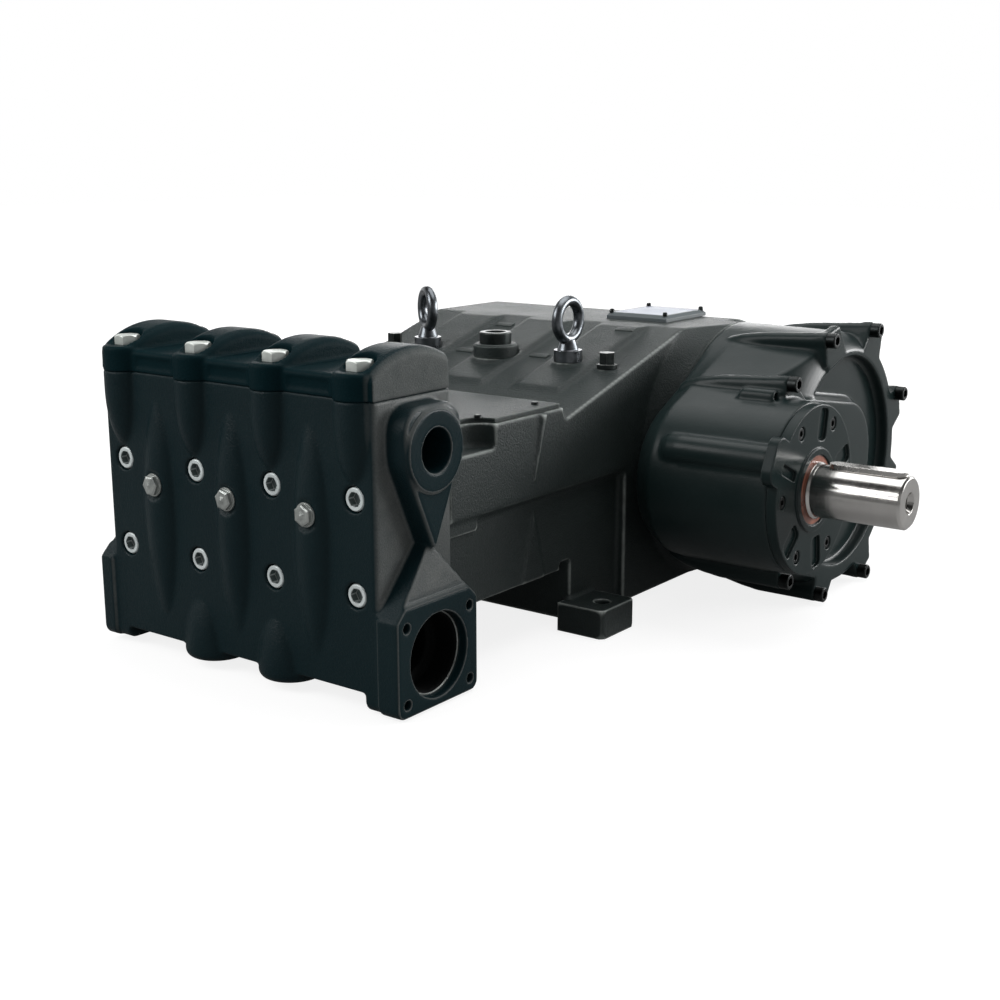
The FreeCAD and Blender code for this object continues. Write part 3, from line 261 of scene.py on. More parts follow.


# Dust and painted sheen: the rough side walls facing along X are painted lighter and greyer, partly for dust
# and partly for the sheen of light grazing them; the machined faces are left clean
def dustSheenMask(tree, look, skin, side, facingX, machined):
    dustSheenAmount = rangeNode(tree, facingX, 0.35, 0.95, 0.0, look["dustSheenShare"])
    dustSheenAmount = mathNode(tree, "MULTIPLY", dustSheenAmount, mathNode(tree, "SUBTRACT", 1.0, machined))
    dustSheenAmount = mathNode(tree, "MULTIPLY", dustSheenAmount, rangeNode(tree, skin.outputs["Height"], 0.6, 1.3, 0.5, 1.0))
    if look.get("dustSheenFrom"):  # only the outer side walls, not the flanks of the columns
        outer = rangeNode(tree, side, look["dustSheenFrom"] - 0.004, look["dustSheenFrom"])
        dustSheenAmount = mathNode(tree, "MULTIPLY", dustSheenAmount, outer)
    return dustSheenAmount


# Paint rubbed thin on the outer edges, painted lighter still as a painted highlight for the light that
# rounded edges catch
def wornHighlightMask(tree, look, edge):
    wornHighlight = edge.outputs["Edge"]
    if look.get("pointed"):  # castings with many small faces
        shape = addNode(tree, "ShaderNodeNewGeometry")
        sharp = rangeNode(tree, shape.outputs["Pointiness"], *look["pointed"])
        wornHighlight = mathNode(tree, "ADD", wornHighlight, sharp, clamp=True)
    return mathNode(tree, "MULTIPLY", wornHighlight, look["wornHighlightShare"])


# Paint on castings, smoother on the machined side faces, with painted shade that makes them dark and dull
# down in the ports
def makePaint(name, look):
    material, tree, shader = startMaterial(name, look["roughness"], specular=look["specular"])
    skin = useGroup(
        tree, castSkin, Grain=look["grain"], Waviness=look["waviness"], Grain_Share=look["grainShare"]
    )
    edge = useGroup(tree, softEdge, Radius=look["edgeRadius"], Sharpness=look["edgeSharpness"])
    place = splitPlace(tree)
    facing = addNode(tree, "ShaderNodeSeparateXYZ")
    tree.links.new(addNode(tree, "ShaderNodeTexCoord").outputs["Normal"], facing.inputs[0])
    facingX = mathNode(tree, "ABSOLUTE", facing.outputs["X"])
    side = mathNode(tree, "ABSOLUTE", place.outputs["X"])
    machined = rangeNode(tree, side, look["machinedFrom"] - 0.0015, look["machinedFrom"])
    machined = mathNode(tree, "MULTIPLY", machined, rangeNode(tree, facingX, 0.88, 0.97))
    body = mixColour(tree, skin.outputs["Blotch"], look["dark"], look["light"])
    # dust and painted sheen on the side walls facing along X
    body = mixColour(tree, dustSheenMask(tree, look, skin, side, facingX, machined), body, look["dustSheenColour"])
    # wear and painted highlight on the outer edges
    body = mixColour(tree, wornHighlightMask(tree, look, edge), body, look["edge"])
    lowRough, highRough = look["roughness"] - 0.05, look["roughness"] + 0.06
    rough = rangeNode(tree, skin.outputs["Blotch"], 0.0, 1.0, lowRough, highRough)
    rough = mixValue(tree, machined, rough, look["machinedRoughness"])
    # painted shade down in the ports
    for y, z, radius in look.get("shadedBores", []):
        inside = boreMask(tree, place, y, z, radius)
        inside = mathNode(tree, "MULTIPLY", inside, rangeNode(tree, side, *boreShadePaint["from"]))
        body = mixColour(tree, inside, body, boreShadePaint["colour"])
        rough = mixValue(tree, inside, rough, boreShadePaint["roughness"])
    tree.links.new(body, shader.inputs["Base Color"])
    tree.links.new(rough, shader.inputs["Roughness"])
    height = mathNode(tree, "MULTIPLY", skin.outputs["Height"], mixValue(tree, machined, 1.0, 0.3))
    bumpInto(tree, shader, height, edge.outputs["Normal"], look["bump"], look["bumpDepth"])
    return material


paintLooks = {
    "headPaint": {
        "dark": (0.0020, 0.0115, 0.0145), "light": (0.0034, 0.0145, 0.0175),
        "edge": (0.050, 0.062, 0.064), "wornHighlightShare": 0.4, "edgeRadius": 0.0022, "edgeSharpness": 4.0,
        "pointed": (0.53, 0.60), "roughness": 0.40, "specular": 0.17,
        "machinedFrom": 0.2205, "machinedRoughness": 0.24,
        "grain": 520.0, "waviness": 30.0, "grainShare": 0.9, "bump": 0.6, "bumpDepth": 0.0012,
        "shadedBores": [(portY, 0.0555, 0.0437), (portY, outletZ, 0.0222)],
        "dustSheenColour": (0.130, 0.136, 0.132), "dustSheenShare": 0.85, "dustSheenFrom": 0.191,
    },
    "casePaint": {
        "dark": (0.0080, 0.0150, 0.0145), "light": (0.0125, 0.0205, 0.0195),
        # edge: worn edge colour, made much lighter as a painted highlight along the crankcase edges
        "edge": (0.40, 0.43, 0.41), "wornHighlightShare": 1.0, "edgeRadius": 0.0030, "edgeSharpness": 5.0,
        "pointed": (0.52, 0.58), "roughness": 0.52, "specular": 0.38,
        "machinedFrom": 10.0, "machinedRoughness": 0.3,  # beyond its sides: none is machined
        "grain": 430.0, "waviness": 26.0, "grainShare": 1.2, "bump": 0.7, "bumpDepth": 0.0013,
        "dustSheenColour": (0.03, 0.035, 0.034), "dustSheenShare": 0.2,
    },
    "gearPaint": {
        "dark": (0.0070, 0.0145, 0.0145), "light": (0.0100, 0.0180, 0.0180),
        "edge": (0.075, 0.085, 0.085), "wornHighlightShare": 0.5, "edgeRadius": 0.0028, "edgeSharpness": 5.0,
        "pointed": (0.54, 0.62), "roughness": 0.38, "specular": 0.21,
        "machinedFrom": 0.3600, "machinedRoughness": 0.22,
        "grain": 380.0, "waviness": 24.0, "grainShare": 0.3, "bump": 0.35, "bumpDepth": 0.0011,
        "dustSheenColour": (0.03, 0.035, 0.034), "dustSheenShare": 0.1,
    },
}
# The same paints on flat plates, whose faces are too few for the pointed edges, and duller on the cover
paintLooks["platePaint"] = {**paintLooks["casePaint"], "pointed": None, "edge": (0.16, 0.18, 0.17)}
paintLooks["coverPaint"] = {**paintLooks["headPaint"], "specular": 0.03, "pointed": (0.58, 0.68)}
paintLooks["flangePaint"] = {**paintLooks["gearPaint"], "pointed": None, "specular": 0.14}
paints = {name: makePaint(name, look) for name, look in paintLooks.items()}


# Distance from the nearest axis in a row or grid of axes, for marks round screws and plugs
def axisDistance(tree, across, up, acrossStep, acrossStart, upStep, upStart):
    place = splitPlace(tree)
    squares = []
    for axis, step, start in ((across, acrossStep, acrossStart), (up, upStep, upStart)):
        value = mathNode(tree, "SUBTRACT", place.outputs[axis], start)
        if step:
            steps = mathNode(tree, "ROUND", mathNode(tree, "DIVIDE", value, step))
            value = mathNode(tree, "SUBTRACT", value, mathNode(tree, "MULTIPLY", steps, step))
        squares.append(mathNode(tree, "MULTIPLY", value, value))
    return mathNode(tree, "SQRT", mathNode(tree, "ADD", *squares))


# The frame round a flat plate, measured inwards from its outline
def frameMask(tree, place, frameLook):
    beyond = []
    for axis, middle, half in zip("XY", frameLook["middle"], frameLook["half"]):
        across = mathNode(tree, "ABSOLUTE", mathNode(tree, "SUBTRACT", place.outputs[axis], middle))
        beyond.append(mathNode(tree, "SUBTRACT", across, half))
    nearest = mathNode(tree, "MAXIMUM", *beyond)
    return rangeNode(tree, nearest, -frameLook["width"] - 0.0006, -frameLook["width"])


# Bare and plated steel with rings left by turning
def makeSteel(name, look):
    material, tree, shader = startMaterial(name, look["roughness"], metallic=look.get("metal", 1.0))
    distance = axisDistance(tree, *look["axes"])
    place = splitPlace(tree)
    joined = addNode(tree, "ShaderNodeCombineXYZ")
    tree.links.new(distance, joined.inputs[0])
    tree.links.new(place.outputs[look["along"]], joined.inputs[1])
    rings = addNode(tree, "ShaderNodeTexNoise", Scale=look["rings"], Detail=3.0, Roughness=0.7)
    tree.links.new(joined.outputs[0], rings.inputs["Vector"])
    smudge = addNode(tree, "ShaderNodeTexNoise", Scale=look["smudge"], Detail=4.0, Roughness=0.6)
    tree.links.new(objectPlace(tree), smudge.inputs["Vector"])
    edge = useGroup(tree, softEdge, Radius=look["edgeRadius"])
    base = mixColour(tree, rangeNode(tree, smudge.outputs["Fac"], 0.35, 0.65), look["dark"], look["light"])
    # Painted shade: the inside of the hex socket is painted dark in place of the shade down in it
    if look.get("socket"):
        inside = rangeNode(tree, distance, look["socket"] * 0.93, look["socket"], 1.0, 0.0)
        base = mixColour(tree, inside, base, look["socketShade"])
    if look.get("frame"):
        base = mixColour(tree, frameMask(tree, place, look["frame"]), base, look["frame"]["colour"])
    tree.links.new(mixColour(tree, edge.outputs["Edge"], base, look["edge"]), shader.inputs["Base Color"])
    rough = mathNode(tree, "ADD", rings.outputs["Fac"], smudge.outputs["Fac"])
    rough = rangeNode(tree, rough, 0.6, 1.4, look["roughness"] - 0.07, look["roughness"] + 0.09)
    tree.links.new(rough, shader.inputs["Roughness"])
    bumpInto(tree, shader, rings.outputs["Fac"], edge.outputs["Normal"], look["bump"], 0.0004)
    return material


steelLooks = {
    "shaftSteel": {
        "axes": ("Y", "Z", 0.0, inputY, 0.0, crankZ), "along": "X", "rings": 260.0, "smudge": 14.0,
        "dark": (0.56, 0.545, 0.525), "light": (0.70, 0.685, 0.66), "edge": (0.80, 0.79, 0.77),
        "roughness": 0.19, "edgeRadius": 0.0012, "bump": 0.08,
    },
    "keySteel": {
        "axes": ("Y", "Z", 0.0, inputY, 0.0, crankZ), "along": "X", "rings": 300.0, "smudge": 20.0,
        "dark": (0.50, 0.485, 0.465), "light": (0.64, 0.625, 0.60), "edge": (0.80, 0.79, 0.77),
        "roughness": 0.26, "edgeRadius": 0.0010, "bump": 0.12,
    },
    "coverBoltZinc": {
        "axes": ("X", "Y", pitch, pitch / 2, 0.0, -0.566), "along": "Z", "rings": 500.0, "smudge": 60.0,
        "dark": (0.62, 0.66, 0.62), "light": (0.78, 0.82, 0.78), "edge": (0.86, 0.88, 0.85),
        "roughness": 0.46, "edgeRadius": 0.0012, "bump": 0.2, "metal": 0.8,
    },
    "screwZinc": {
        "axes": ("X", "Z", pitch, pitch / 2, screwRows, crankZ - screwRows / 2), "along": "Y",
        "rings": 700.0, "smudge": 70.0,
        "dark": (0.56, 0.61, 0.61), "light": (0.74, 0.80, 0.80), "edge": (0.86, 0.90, 0.89),
        "roughness": 0.42, "edgeRadius": 0.0010, "bump": 0.25, "metal": 0.3,
        "socket": 0.0080, "socketShade": (0.13, 0.16, 0.16),
    },
    "plugSteel": {
        "axes": ("X", "Z", pitch, 0.0, 0.0, valveZ), "along": "Y", "rings": 800.0, "smudge": 90.0,
        "dark": (0.26, 0.28, 0.27), "light": (0.44, 0.46, 0.44), "edge": (0.60, 0.62, 0.60),
        "roughness": 0.34, "edgeRadius": 0.0006, "bump": 0.6, "metal": 0.6,
    },
    "eyeSteel": {
        "axes": ("X", "Y", 0.218, 0.109, 0.0, fittingY), "along": "Z", "rings": 200.0, "smudge": 55.0,
        "dark": (0.10, 0.11, 0.12), "light": (0.20, 0.215, 0.23), "edge": (0.35, 0.36, 0.38),
        "roughness": 0.30, "edgeRadius": 0.0010, "bump": 0.25,
    },
    "plateSilver": {
        "axes": ("X", "Y", 0.0, 0.101, 0.0, crankY), "along": "Z", "rings": 120.0, "smudge": 25.0,
        "dark": (0.19, 0.21, 0.26), "light": (0.23, 0.25, 0.305), "edge": (0.30, 0.33, 0.37),
        "roughness": 0.50, "edgeRadius": 0.0008, "bump": 0.1, "metal": 0.0,
        "frame": {
            "middle": (0.101, crankY), "half": (0.045, 0.051), "width": 0.0075, "colour": (0.07, 0.085, 0.09),
        },
    },
    "fittingDark": {
        "axes": ("X", "Y", 0.165, 0.0, 0.0, fittingY), "along": "Z", "rings": 300.0, "smudge": 60.0,
        "dark": (0.030, 0.036, 0.036), "light": (0.055, 0.062, 0.060), "edge": (0.20, 0.21, 0.20),
        "roughness": 0.38, "edgeRadius": 0.0010, "bump": 0.3,
    },
    "blackScrew": {
        "axes": ("Y", "Z", 0.0, crankY, 0.0, crankZ), "along": "X", "rings": 300.0, "smudge": 80.0,
        "dark": (0.016, 0.018, 0.018), "light": (0.032, 0.035, 0.035), "edge": (0.10, 0.105, 0.105),
        "roughness": 0.36, "edgeRadius": 0.0008, "bump": 0.2,
    },
}
steels = {name: makeSteel(name, look) for name, look in steelLooks.items()}


# Oily seal: copper brown with a dark lip next to the shaft
sealLook = {
    "dark": (0.16, 0.045, 0.025), "light": (0.32, 0.11, 0.065), "lip": (0.02, 0.02, 0.02),
    "lipFrom": (0.0388, 0.0394),
}


def makeSeal(look):
    material, tree, shader = startMaterial("sealBrown", 0.33, specular=0.6)
    distance = axisDistance(tree, "Y", "Z", 0.0, inputY, 0.0, crankZ)
    oil = addNode(tree, "ShaderNodeTexNoise", Scale=60.0, Detail=4.0)
    tree.links.new(objectPlace(tree), oil.inputs["Vector"])
    copper = mixColour(tree, rangeNode(tree, oil.outputs["Fac"], 0.35, 0.65), look["dark"], look["light"])
    rim = rangeNode(tree, distance, *look["lipFrom"])
    tree.links.new(mixColour(tree, rim, copper, look["lip"]), shader.inputs["Base Color"])
    tree.links.new(rangeNode(tree, oil.outputs["Fac"], 0.3, 0.7, 0.22, 0.42), shader.inputs["Roughness"])
    bumpInto(tree, shader, oil.outputs["Fac"], None, 0.2, 0.0008)
    return material


finishes = {**paints, **steels, "sealBrown": makeSeal(sealLook)}
nodesByFinish = {
    "headPaint": ["fluid_head", "top_cover"],
    "casePaint": ["crankcase"],
    "platePaint": ["inspection_plate", "oil_filler_neck", "bearing_cover", "rear_cover"],
    "gearPaint": ["gear_housing"],
    "flangePaint": ["input_flange"],
    "coverBoltZinc": ["top_cover_bolts", "rear_cover_screws"],
    "screwZinc": ["head_screws"],
    "plugSteel": ["front_plugs", "outlet_plug", "oil_level_plug", "oil_drain_plug"],
    "eyeSteel": ["eye_bolt_left", "eye_bolt_right"],
    "fittingDark": ["oil_cap", "breather_plug_left", "breather_plug_right"],
    "plateSilver": ["nameplate"],
    "blackScrew": ["gear_housing_screws", "input_flange_screws", "bearing_cover_screws"],
    "sealBrown": ["shaft_seal"],
    "shaftSteel": ["input_shaft"],
    "keySteel": ["shaft_key"],
}
for finish, nodeNames in nodesByFinish.items():
    for nodeName in nodeNames:
        mesh = cadNodes[nodeName].data
        mesh.materials.clear()
        mesh.materials.append(finishes[finish])
print("pump: materials made")


def linkPiece(name, mesh, body, material):
    piece = bpy.data.objects.new(name, mesh)
    scene.collection.objects.link(piece)
    mesh.materials.clear()
    mesh.materials.append(material)
    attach(piece, body)
    return piece


def evaluatedMesh(source):
    return bpy.data.meshes.new_from_object(source.evaluated_get(bpy.context.evaluated_depsgraph_get()))


def addSmoothing(source, name, steps, groupName=""):
    smoothing = source.modifiers.new(name, "SMOOTH")
    smoothing.factor = 0.5
    smoothing.iterations = steps
    smoothing.vertex_group = groupName


weightLevels = 8  # steps from sharp to soft


# A casting: the node's closed copy in small voxels, its edges drawn soft where the sand mould left them so
def makeCasting(name, look):
    bm = bmesh.new()
    bm.from_mesh(cadNodes[look["node"]].data)
    bmesh.ops.remove_doubles(bm, verts=bm.verts, dist=mergeDistance)
    bmesh.ops.recalc_face_normals(bm, faces=bm.faces)
    rawMesh = bpy.data.meshes.new(name + "Raw")
    bm.to_mesh(rawMesh)
    bm.free()
    raw = bpy.data.objects.new(name + "Raw", rawMesh)
    scene.collection.objects.link(raw)
    remesh = raw.modifiers.new("voxels", "REMESH")
    remesh.mode = "VOXEL"
    remesh.voxel_size = look["voxel"]
    mesh = evaluatedMesh(raw)
    raw.modifiers.clear()
    raw.data = mesh
    spots = np.zeros(len(mesh.vertices) * 3, np.float32)
    mesh.vertices.foreach_get("co", spots)
    soft = look["softness"](spots.reshape(-1, 3).astype(float))
    group = raw.vertex_groups.new(name="soft")
    for level in range(1, weightLevels + 1):
        chosen = np.nonzero(np.round(soft * weightLevels) == level)[0].tolist()
        if chosen:
            group.add(chosen, level / weightLevels, "REPLACE")
    addSmoothing(raw, "even", look["evenSteps"])
    addSmoothing(raw, "draw", look["softSteps"], "soft")
    if look["keepShare"] < 1.0:
        thin = raw.modifiers.new("thin", "DECIMATE")
        thin.ratio = look["keepShare"]
    final = evaluatedMesh(raw)
    bpy.data.objects.remove(raw)
    final.name = name
    final.shade_smooth()
    piece = linkPiece(name, final, look["body"], look["material"])
    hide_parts(look["node"])
    final.calc_loop_triangles()
    print("pump:", name, len(final.loop_triangles), "triangles")


# Softness of the castings' edges, from 0 for sharp to 1 for soft, at an array of places
def near(distance, low, high):
    return np.clip((distance - low) / (high - low), 0.0, 1.0)


# Machined places that keep their edges: sharp within the first measure, soft from the second on
headMachined = {
    "top": (0.003, 0.008), "screw": (0.0155, 0.019), "plug": (0.0185, 0.022), "outlet": (0.040, 0.044),
    "plugBackY": -0.57, "outletFromX": 0.19,
    "portHalfY": 0.060, "portMiddleZ": 0.057, "portHalfZ": 0.056, "portFromX": 0.205,
}


def headSoft(p):
    x, y, z = p.T
    look = headMachined
    soft = near(headTopZ - z, *look["top"])
    column = np.abs((x / pitch + 0.5) - np.round(x / pitch + 0.5)) * pitch
    for row in (crankZ - screwRows / 2, crankZ + screwRows / 2):
        soft = np.minimum(soft, near(np.hypot(column, z - row), *look["screw"]))
    valve = np.abs(x / pitch - np.round(x / pitch)) * pitch
    plug = np.hypot(valve, z - valveZ) + (y > look["plugBackY"]) * 1.0
    soft = np.minimum(soft, near(plug, *look["plug"]))
    outlet = np.hypot(y - portY, z - outletZ) + (x < look["outletFromX"]) * 1.0
    soft = np.minimum(soft, near(outlet, *look["outlet"]))
    beyondY = np.abs(y - portY) - look["portHalfY"]
    beyondZ = np.abs(z - look["portMiddleZ"]) - look["portHalfZ"]
    port = np.maximum(beyondY, beyondZ)
    inside = near(look["portFromX"] - np.abs(x), 0.0, 0.006)
    return np.minimum(soft, np.maximum(inside, near(port, -0.001, 0.004)))


coverMachined = {"seat": (0.003, 0.008), "padZ": 0.338, "pad": (-0.004, 0.002)}


def coverSoft(p):
    x, y, z = p.T
    look = coverMachined
    return near(z - headTopZ, *look["seat"]) * near(look["padZ"] - z, *look["pad"])


# Ridges on the sloping lid run out softly; the rest of the crankcase keeps tighter edges
caseRidges = {
    "slope": 0.292, "depth": (-0.004, -0.001), "halfLength": 0.186, "frontY": -0.262, "backY": 0.012,
    "soft": 0.6, "elsewhere": 0.126, "foot": (0.002, 0.008),
}


def caseSoft(p):
    x, y, z = p.T
    look = caseRidges
    lid = lidFrontZ + (y - lidFrontY) * look["slope"]
    ridge = near(z - lid, *look["depth"]) * near(look["halfLength"] - np.abs(x), 0.0, 0.006)
    ridge = ridge * near(y - look["frontY"], 0.0, 0.004)
    ridge = ridge * near(look["backY"] - y, 0.0, 0.01) * look["soft"]
    return np.maximum(look["elsewhere"], ridge) * near(z, *look["foot"])


gearMachined = {"backX": 0.223, "back": (0.002, 0.010), "faceX": 0.369, "face": (0.0, 0.006)}


def gearSoft(p):
    x, y, z = p.T
    look = gearMachined
    return near(x - look["backX"], *look["back"]) * near(look["faceX"] - x, *look["face"])


castings = {
    "headCasting": {
        "node": "fluid_head", "softness": headSoft,
        "voxel": 0.0018, "evenSteps": 1, "softSteps": 4, "keepShare": 0.5,
        "body": "casing", "slot": "head_paint", "material": paints["headPaint"],
    },
    "coverCasting": {
        "node": "top_cover", "softness": coverSoft,
        "voxel": 0.0017, "evenSteps": 1, "softSteps": 4, "keepShare": 0.7,
        "body": "casing", "slot": "head_paint", "material": paints["coverPaint"],
    },
    "caseCasting": {
        "node": "crankcase", "softness": caseSoft,
        "voxel": 0.0024, "evenSteps": 1, "softSteps": 6, "keepShare": 0.45,
        "body": "casing", "slot": "case_paint", "material": paints["casePaint"],
    },
    "gearCasting": {
        "node": "gear_housing", "softness": gearSoft,
        "voxel": 0.0020, "evenSteps": 2, "softSteps": 7, "keepShare": 0.45,
        "body": "casing", "slot": "gear_paint", "material": paints["gearPaint"],
    },
}
for name, look in castings.items():
    makeCasting(name, look)
print("pump: castings made")


# Ends a bmesh and gives its mesh a place on a body
def finishPiece(bm, name, look, smooth=False):
    bmesh.ops.remove_doubles(bm, verts=bm.verts, dist=mergeDistance)
    bmesh.ops.recalc_face_normals(bm, faces=bm.faces)
    mesh = bpy.data.meshes.new(name)
    bm.to_mesh(mesh)
    bm.free()
    if smooth:
        mesh.shade_smooth()
        mesh.set_sharp_from_angle(angle=math.radians(sharpAngle))
    return linkPiece(name, mesh, look["body"], look["material"])


def roundEdges(bm, edges, offset):
    bmesh.ops.bevel(bm, geom=edges, offset=offset, affect="EDGES", segments=3, profile=0.5, material=-1)


# A profile of (along, radius) points spun round an axis parallel to X or Y, added to a bmesh
def spinProfile(bm, profile, centre, axis, steps=48):
    along = Vector(axis)
    out = Vector((0.0, 0.0, 1.0))
    verts = [bm.verts.new(Vector(centre) + along * way + out * radius) for way, radius in profile]
    edges = [bm.edges.new(pair) for pair in zip(verts, verts[1:])]
    bmesh.ops.spin(
        bm, geom=verts + edges, cent=centre, axis=along, angle=math.tau, steps=steps, use_merge=True
    )


# Hexagon plugs of the valve bores: a washer, a low hexagon and a turned face with a shallow cone
valvePlugs = {
    "across": 0.0190, "lift": 0.0031, "crown": 0.0016, "firstTurn": 17.0, "turnPerMetre": 400.0,
    "chamfers": ((0.0022, 0.0010), (0.0040, 0.0004)),  # chamfered corners, then the turned face
    "washerRadius": 0.0126, "washerBore": 0.0080, "washer": 0.0014, "washerTaper": 0.0004,
    "body": "casing", "slot": "stainless", "material": steels["plugSteel"],
}


def frontFaces(bm, frontY):
    return [
        face for face in bm.faces
        if face.calc_center_median().y < frontY + 1e-5 and abs(face.normal.y) > 0.9
    ]


def makeValvePlugs(look):
    low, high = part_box("front_plugs")
    frontY = low[1] + look["lift"]
    seatY = high[1] - seatDepth
    radius = look["across"] / 2 / math.cos(math.pi / 6)
    forward = Matrix.Rotation(math.radians(90.0), 4, "X")
    bm = bmesh.new()
    for place in (-pitch, 0.0, pitch):
        turn = math.radians(look["firstTurn"] + look["turnPerMetre"] * place)
        middle = Matrix.Translation((place, (seatY + frontY) / 2, valveZ))
        bmesh.ops.create_cone(
            bm, cap_ends=True, segments=6, radius1=radius, radius2=radius, depth=seatY - frontY,
            matrix=middle @ (forward @ Matrix.Rotation(turn, 4, "Z"))
        )
    for widening, lift in look["chamfers"]:
        bmesh.ops.inset_individual(bm, faces=frontFaces(bm, frontY), thickness=widening, depth=lift)
        frontY -= lift
    tips = bmesh.ops.poke(bm, faces=frontFaces(bm, frontY))["verts"]
    bmesh.ops.translate(bm, verts=tips, vec=(0.0, -look["crown"], 0.0))
    bore, outer, front = look["washerBore"], look["washerRadius"], -look["washer"]
    profile = [(0.0, bore), (0.0, outer), (front, outer - look["washerTaper"]), (front, bore), (0.0, bore)]
    for place in (-pitch, 0.0, pitch):
        spinProfile(bm, profile, Vector((place, seatY, valveZ)), (0.0, 1.0, 0.0))
    return finishPiece(bm, "valvePlugs", look)


plugs = makeValvePlugs(valvePlugs)
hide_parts("front_plugs")


# Small round-headed screws that hold the cover plate and the nameplate
smallScrews = {
    "plateScrews": {
        "node": "inspection_plate", "radius": 0.0046, "height": 0.0028,
        "places": [(0.1728, -0.3906), (0.1740, -0.2900), (-0.1728, -0.3906), (-0.1740, -0.2900)],
    },
    "nameplateStuds": {
        "node": "nameplate", "radius": 0.0034, "height": 0.0042,
        "places": [(0.061, 0.0415), (0.141, 0.0415), (0.061, 0.1335), (0.141, 0.1335)],
    },
}
for look in smallScrews.values():
    look.update({
        "taper": 0.82, "rounding": 0.3,
        "body": "casing", "slot": "black_screw", "material": steels["blackScrew"],
    })


def makeSmallScrews(name, look):
    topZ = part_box(look["node"])[1][2]
    bm = bmesh.new()
    for x, y in look["places"]:
        middle = Matrix.Translation((x, y, topZ + look["height"] / 2 - seatDepth))
        bmesh.ops.create_cone(
            bm, cap_ends=True, segments=20, radius1=look["radius"], radius2=look["radius"] * look["taper"],
            depth=look["height"] + seatDepth * 2, matrix=middle
        )
    rims = [
        edge for edge in bm.edges
        if edge.calc_face_angle(0.0) > 0.5 and edge.verts[0].co.z > topZ + 0.001
    ]
    roundEdges(bm, rims, look["height"] * look["rounding"])
    return finishPiece(bm, name, look, smooth=True)


for name, look in smallScrews.items():
    makeSmallScrews(name, look)


# Low raised marks cast on the sloping lid between its ridges
lidMarks = {
    "places": [(0.128, -0.0325, 0.0050), (-0.056, -0.036, 0.0), (-0.056, -0.1195, 0.0), (0.056, -0.115, 0.0)],
    "slope": 0.2922, "length": 0.026, "width": 0.010, "rise": 0.0013, "rounding": 0.0010,
    "body": "casing", "slot": "case_paint", "material": paints["platePaint"],
}


def makeLidMarks(look):
    bm = bmesh.new()
    for x, y, lift in look["places"]:
        slopeZ = lidFrontZ + (y - lidFrontY) * look["slope"] + lift
        matrix = Matrix.Translation((x, y, slopeZ)) @ Matrix.Rotation(math.atan(look["slope"]), 4, "X")
        size = Matrix.Diagonal((look["length"], look["width"], look["rise"] * 2, 1.0))
        bmesh.ops.create_cube(bm, size=1.0, matrix=matrix @ size)
    roundEdges(bm, list(bm.edges), look["rounding"])
    return finishPiece(bm, "lidMarks", look, smooth=True)


makeLidMarks(lidMarks)


# Bare machined lips down in the suction ports, one to each side
portLips = {
    "ports": [(0.2125, 0.055), (-0.2045, 0.056)],
    "radius": 0.0441, "width": 0.0026, "depth": 0.0010, "bevel": 0.0006,
    "body": "casing", "slot": "stainless", "material": steels["plugSteel"],
}


def makePortLips(look):
    bm = bmesh.new()
    outer, inner, depth = look["radius"], look["radius"] - look["width"], look["depth"]
    for x, z in look["ports"]:
        corner = inner + look["bevel"]
        profile = [(0.0, outer), (depth, corner), (0.0, inner), (-depth, corner), (0.0, outer)]
        spinProfile(bm, profile, Vector((x, portY, z)), (1.0, 0.0, 0.0), steps=96)
    return finishPiece(bm, "portLips", look, smooth=True)


makePortLips(portLips)
print("pump: plugs and small screws made")


# Floor, white for the camera, with the pump's shadow on it
floorLook = {"halfSize": 12.0, "shade": 0.22, "seen": 0.84, "seenFrom": (0.8, 2.2), "mirrored": 0.06}


def makeFloor(look):
    bm = bmesh.new()
    bmesh.ops.create_grid(bm, x_segments=1, y_segments=1, size=look["halfSize"])
    bmesh.ops.translate(bm, verts=bm.verts, vec=(0.0, 0.0, -0.0002))
    mesh = bpy.data.meshes.new("studioFloor")
    bm.to_mesh(mesh)
    bm.free()
    floor = bpy.data.objects.new("studioFloor", mesh)
    scene.collection.objects.link(floor)
    material = bpy.data.materials.new("floorPale")
    material.use_nodes = True
    tree = material.node_tree
    shader = tree.nodes["Principled BSDF"]
    shader.inputs["Base Color"].default_value = (*[look["shade"]] * 3, 1.0)
    shader.inputs["Roughness"].default_value = 0.9
    shader.inputs["Specular IOR Level"].default_value = 0.0
    shader.inputs["Emission Color"].default_value = (1.0, 1.0, 1.0, 1.0)
    path = addNode(tree, "ShaderNodeLightPath")
    mirrored = mathNode(tree, "ADD", path.outputs["Is Glossy Ray"], path.outputs["Is Transmission Ray"])
    mirrored = mathNode(tree, "MULTIPLY", mirrored, look["mirrored"])
    away = addNode(tree, "ShaderNodeVectorMath", operation="LENGTH")
    tree.links.new(objectPlace(tree), away.inputs[0])
    bright = rangeNode(tree, away.outputs["Value"], *look["seenFrom"], look["seen"], 1.0)
    seen = mathNode(tree, "MULTIPLY", path.outputs["Is Camera Ray"], bright)
    tree.links.new(mathNode(tree, "ADD", seen, mirrored), shader.inputs["Emission Strength"])
    mesh.materials.append(material)


# Reflected room: bright along the horizon behind the pump, dim in front of it and overhead
worldSetup = {
    "fill": 0.55, "front": 0.16, "back": 1.0, "overhead": 0.08,
    "backFrom": (-0.40, 0.30), "overheadFrom": (0.28, 0.52),
}


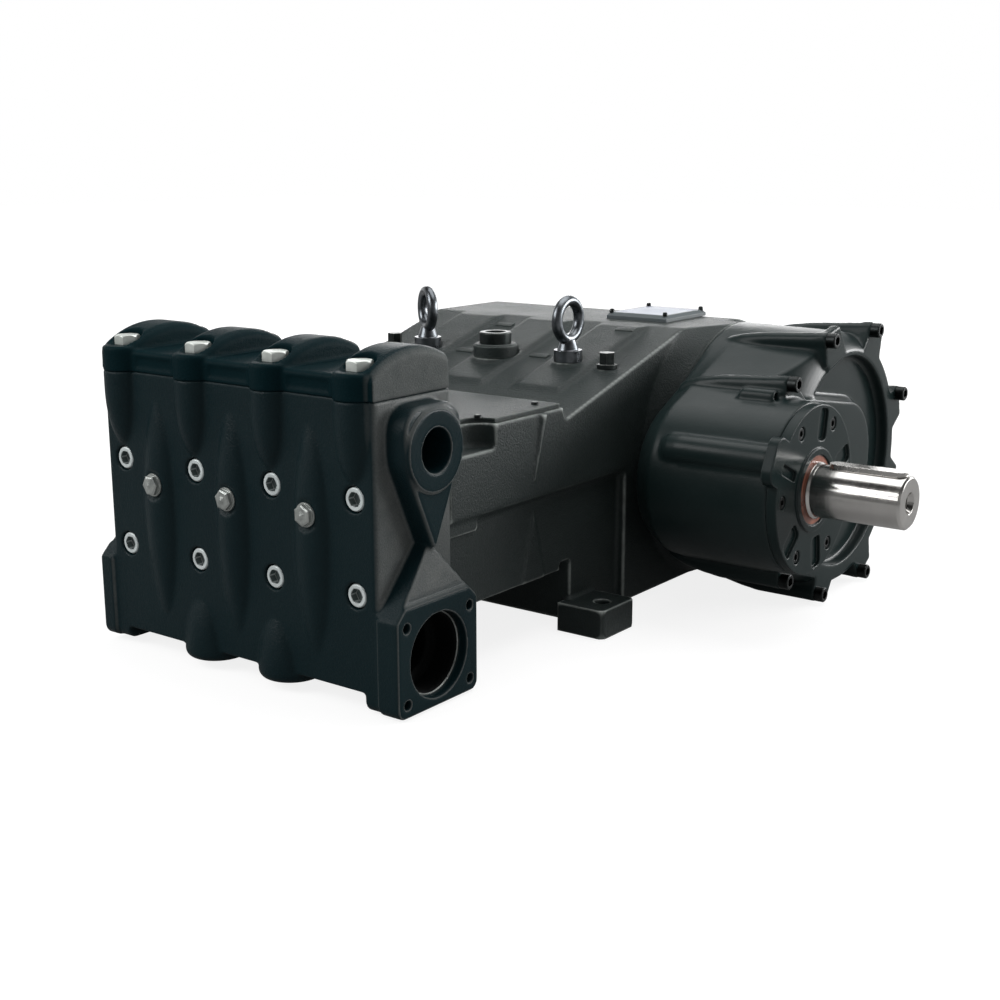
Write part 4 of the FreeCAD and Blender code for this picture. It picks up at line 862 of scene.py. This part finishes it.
def makeWorld(setup):
    world = bpy.data.worlds.new("studioWorld")
    scene.world = world
    world.use_nodes = True
    tree = world.node_tree
    tree.nodes.clear()
    out = addNode(tree, "ShaderNodeOutputWorld")
    path = addNode(tree, "ShaderNodeLightPath")
    place = addNode(tree, "ShaderNodeSeparateXYZ")
    tree.links.new(addNode(tree, "ShaderNodeTexCoord").outputs["Generated"], place.inputs[0])
    behind = rangeNode(tree, place.outputs["Y"], *setup["backFrom"], setup["front"], setup["back"])
    low = rangeNode(tree, place.outputs["Z"], *setup["overheadFrom"], 1.0, setup["overhead"])
    mirror = addNode(tree, "ShaderNodeBackground")
    tree.links.new(mathNode(tree, "MULTIPLY", behind, low), mirror.inputs["Strength"])
    fill = addNode(tree, "ShaderNodeBackground", Strength=setup["fill"])
    white = addNode(tree, "ShaderNodeBackground", Strength=1.0)
    for node in (fill, mirror, white):
        node.inputs["Color"].default_value = (1.0, 1.0, 1.0, 1.0)
    glossy, through = path.outputs["Is Glossy Ray"], path.outputs["Is Transmission Ray"]
    reflected = mathNode(tree, "ADD", glossy, through, clamp=True)
    first = addNode(tree, "ShaderNodeMixShader")
    tree.links.new(reflected, first.inputs[0])
    tree.links.new(fill.outputs[0], first.inputs[1])
    tree.links.new(mirror.outputs[0], first.inputs[2])
    second = addNode(tree, "ShaderNodeMixShader")
    tree.links.new(path.outputs["Is Camera Ray"], second.inputs[0])
    tree.links.new(first.outputs[0], second.inputs[1])
    tree.links.new(white.outputs[0], second.inputs[2])
    tree.links.new(second.outputs[0], out.inputs["Surface"])


# Softboxes: overhead, behind on both sides, and in front on the left a long low one and a higher one
lampSetup = {
    "topBox": {"place": (0.1, 0.35, 1.9), "aim": (0.05, -0.1, 0.2), "size": (2.2, 1.6), "power": 28.0},
    "rightBox": {"place": (2.2, 2.3, 0.85), "aim": (0.1, -0.2, 0.2), "size": (2.6, 0.9), "power": 85.0},
    "backBox": {"place": (-1.7, 2.6, 1.05), "aim": (0.0, 0.0, 0.25), "size": (2.2, 0.8), "power": 26.0},
    "frontBox": {"place": (-1.3, -2.3, 1.32), "aim": (0.4, -0.1, 0.17), "size": (2.2, 0.28), "power": 13.0},
    "highBox": {"place": (-1.5, -2.4, 2.2), "aim": (0.0, -0.4, 0.2), "size": (1.5, 1.1), "power": 34.0},
}


def makeLamps(setup):
    for name, lamp in setup.items():
        data = bpy.data.lights.new(name, "AREA")
        data.shape = "RECTANGLE"
        data.size, data.size_y = lamp["size"]
        data.energy = lamp["power"]
        light = bpy.data.objects.new(name, data)
        scene.collection.objects.link(light)
        light.location = lamp["place"]
        aim = Vector(lamp["aim"]) - Vector(lamp["place"])
        light.rotation_euler = aim.to_track_quat("-Z", "Y").to_euler()
        light.visible_camera = False


makeFloor(floorLook)
makeWorld(worldSetup)
makeLamps(lampSetup)
print("pump: studio made")
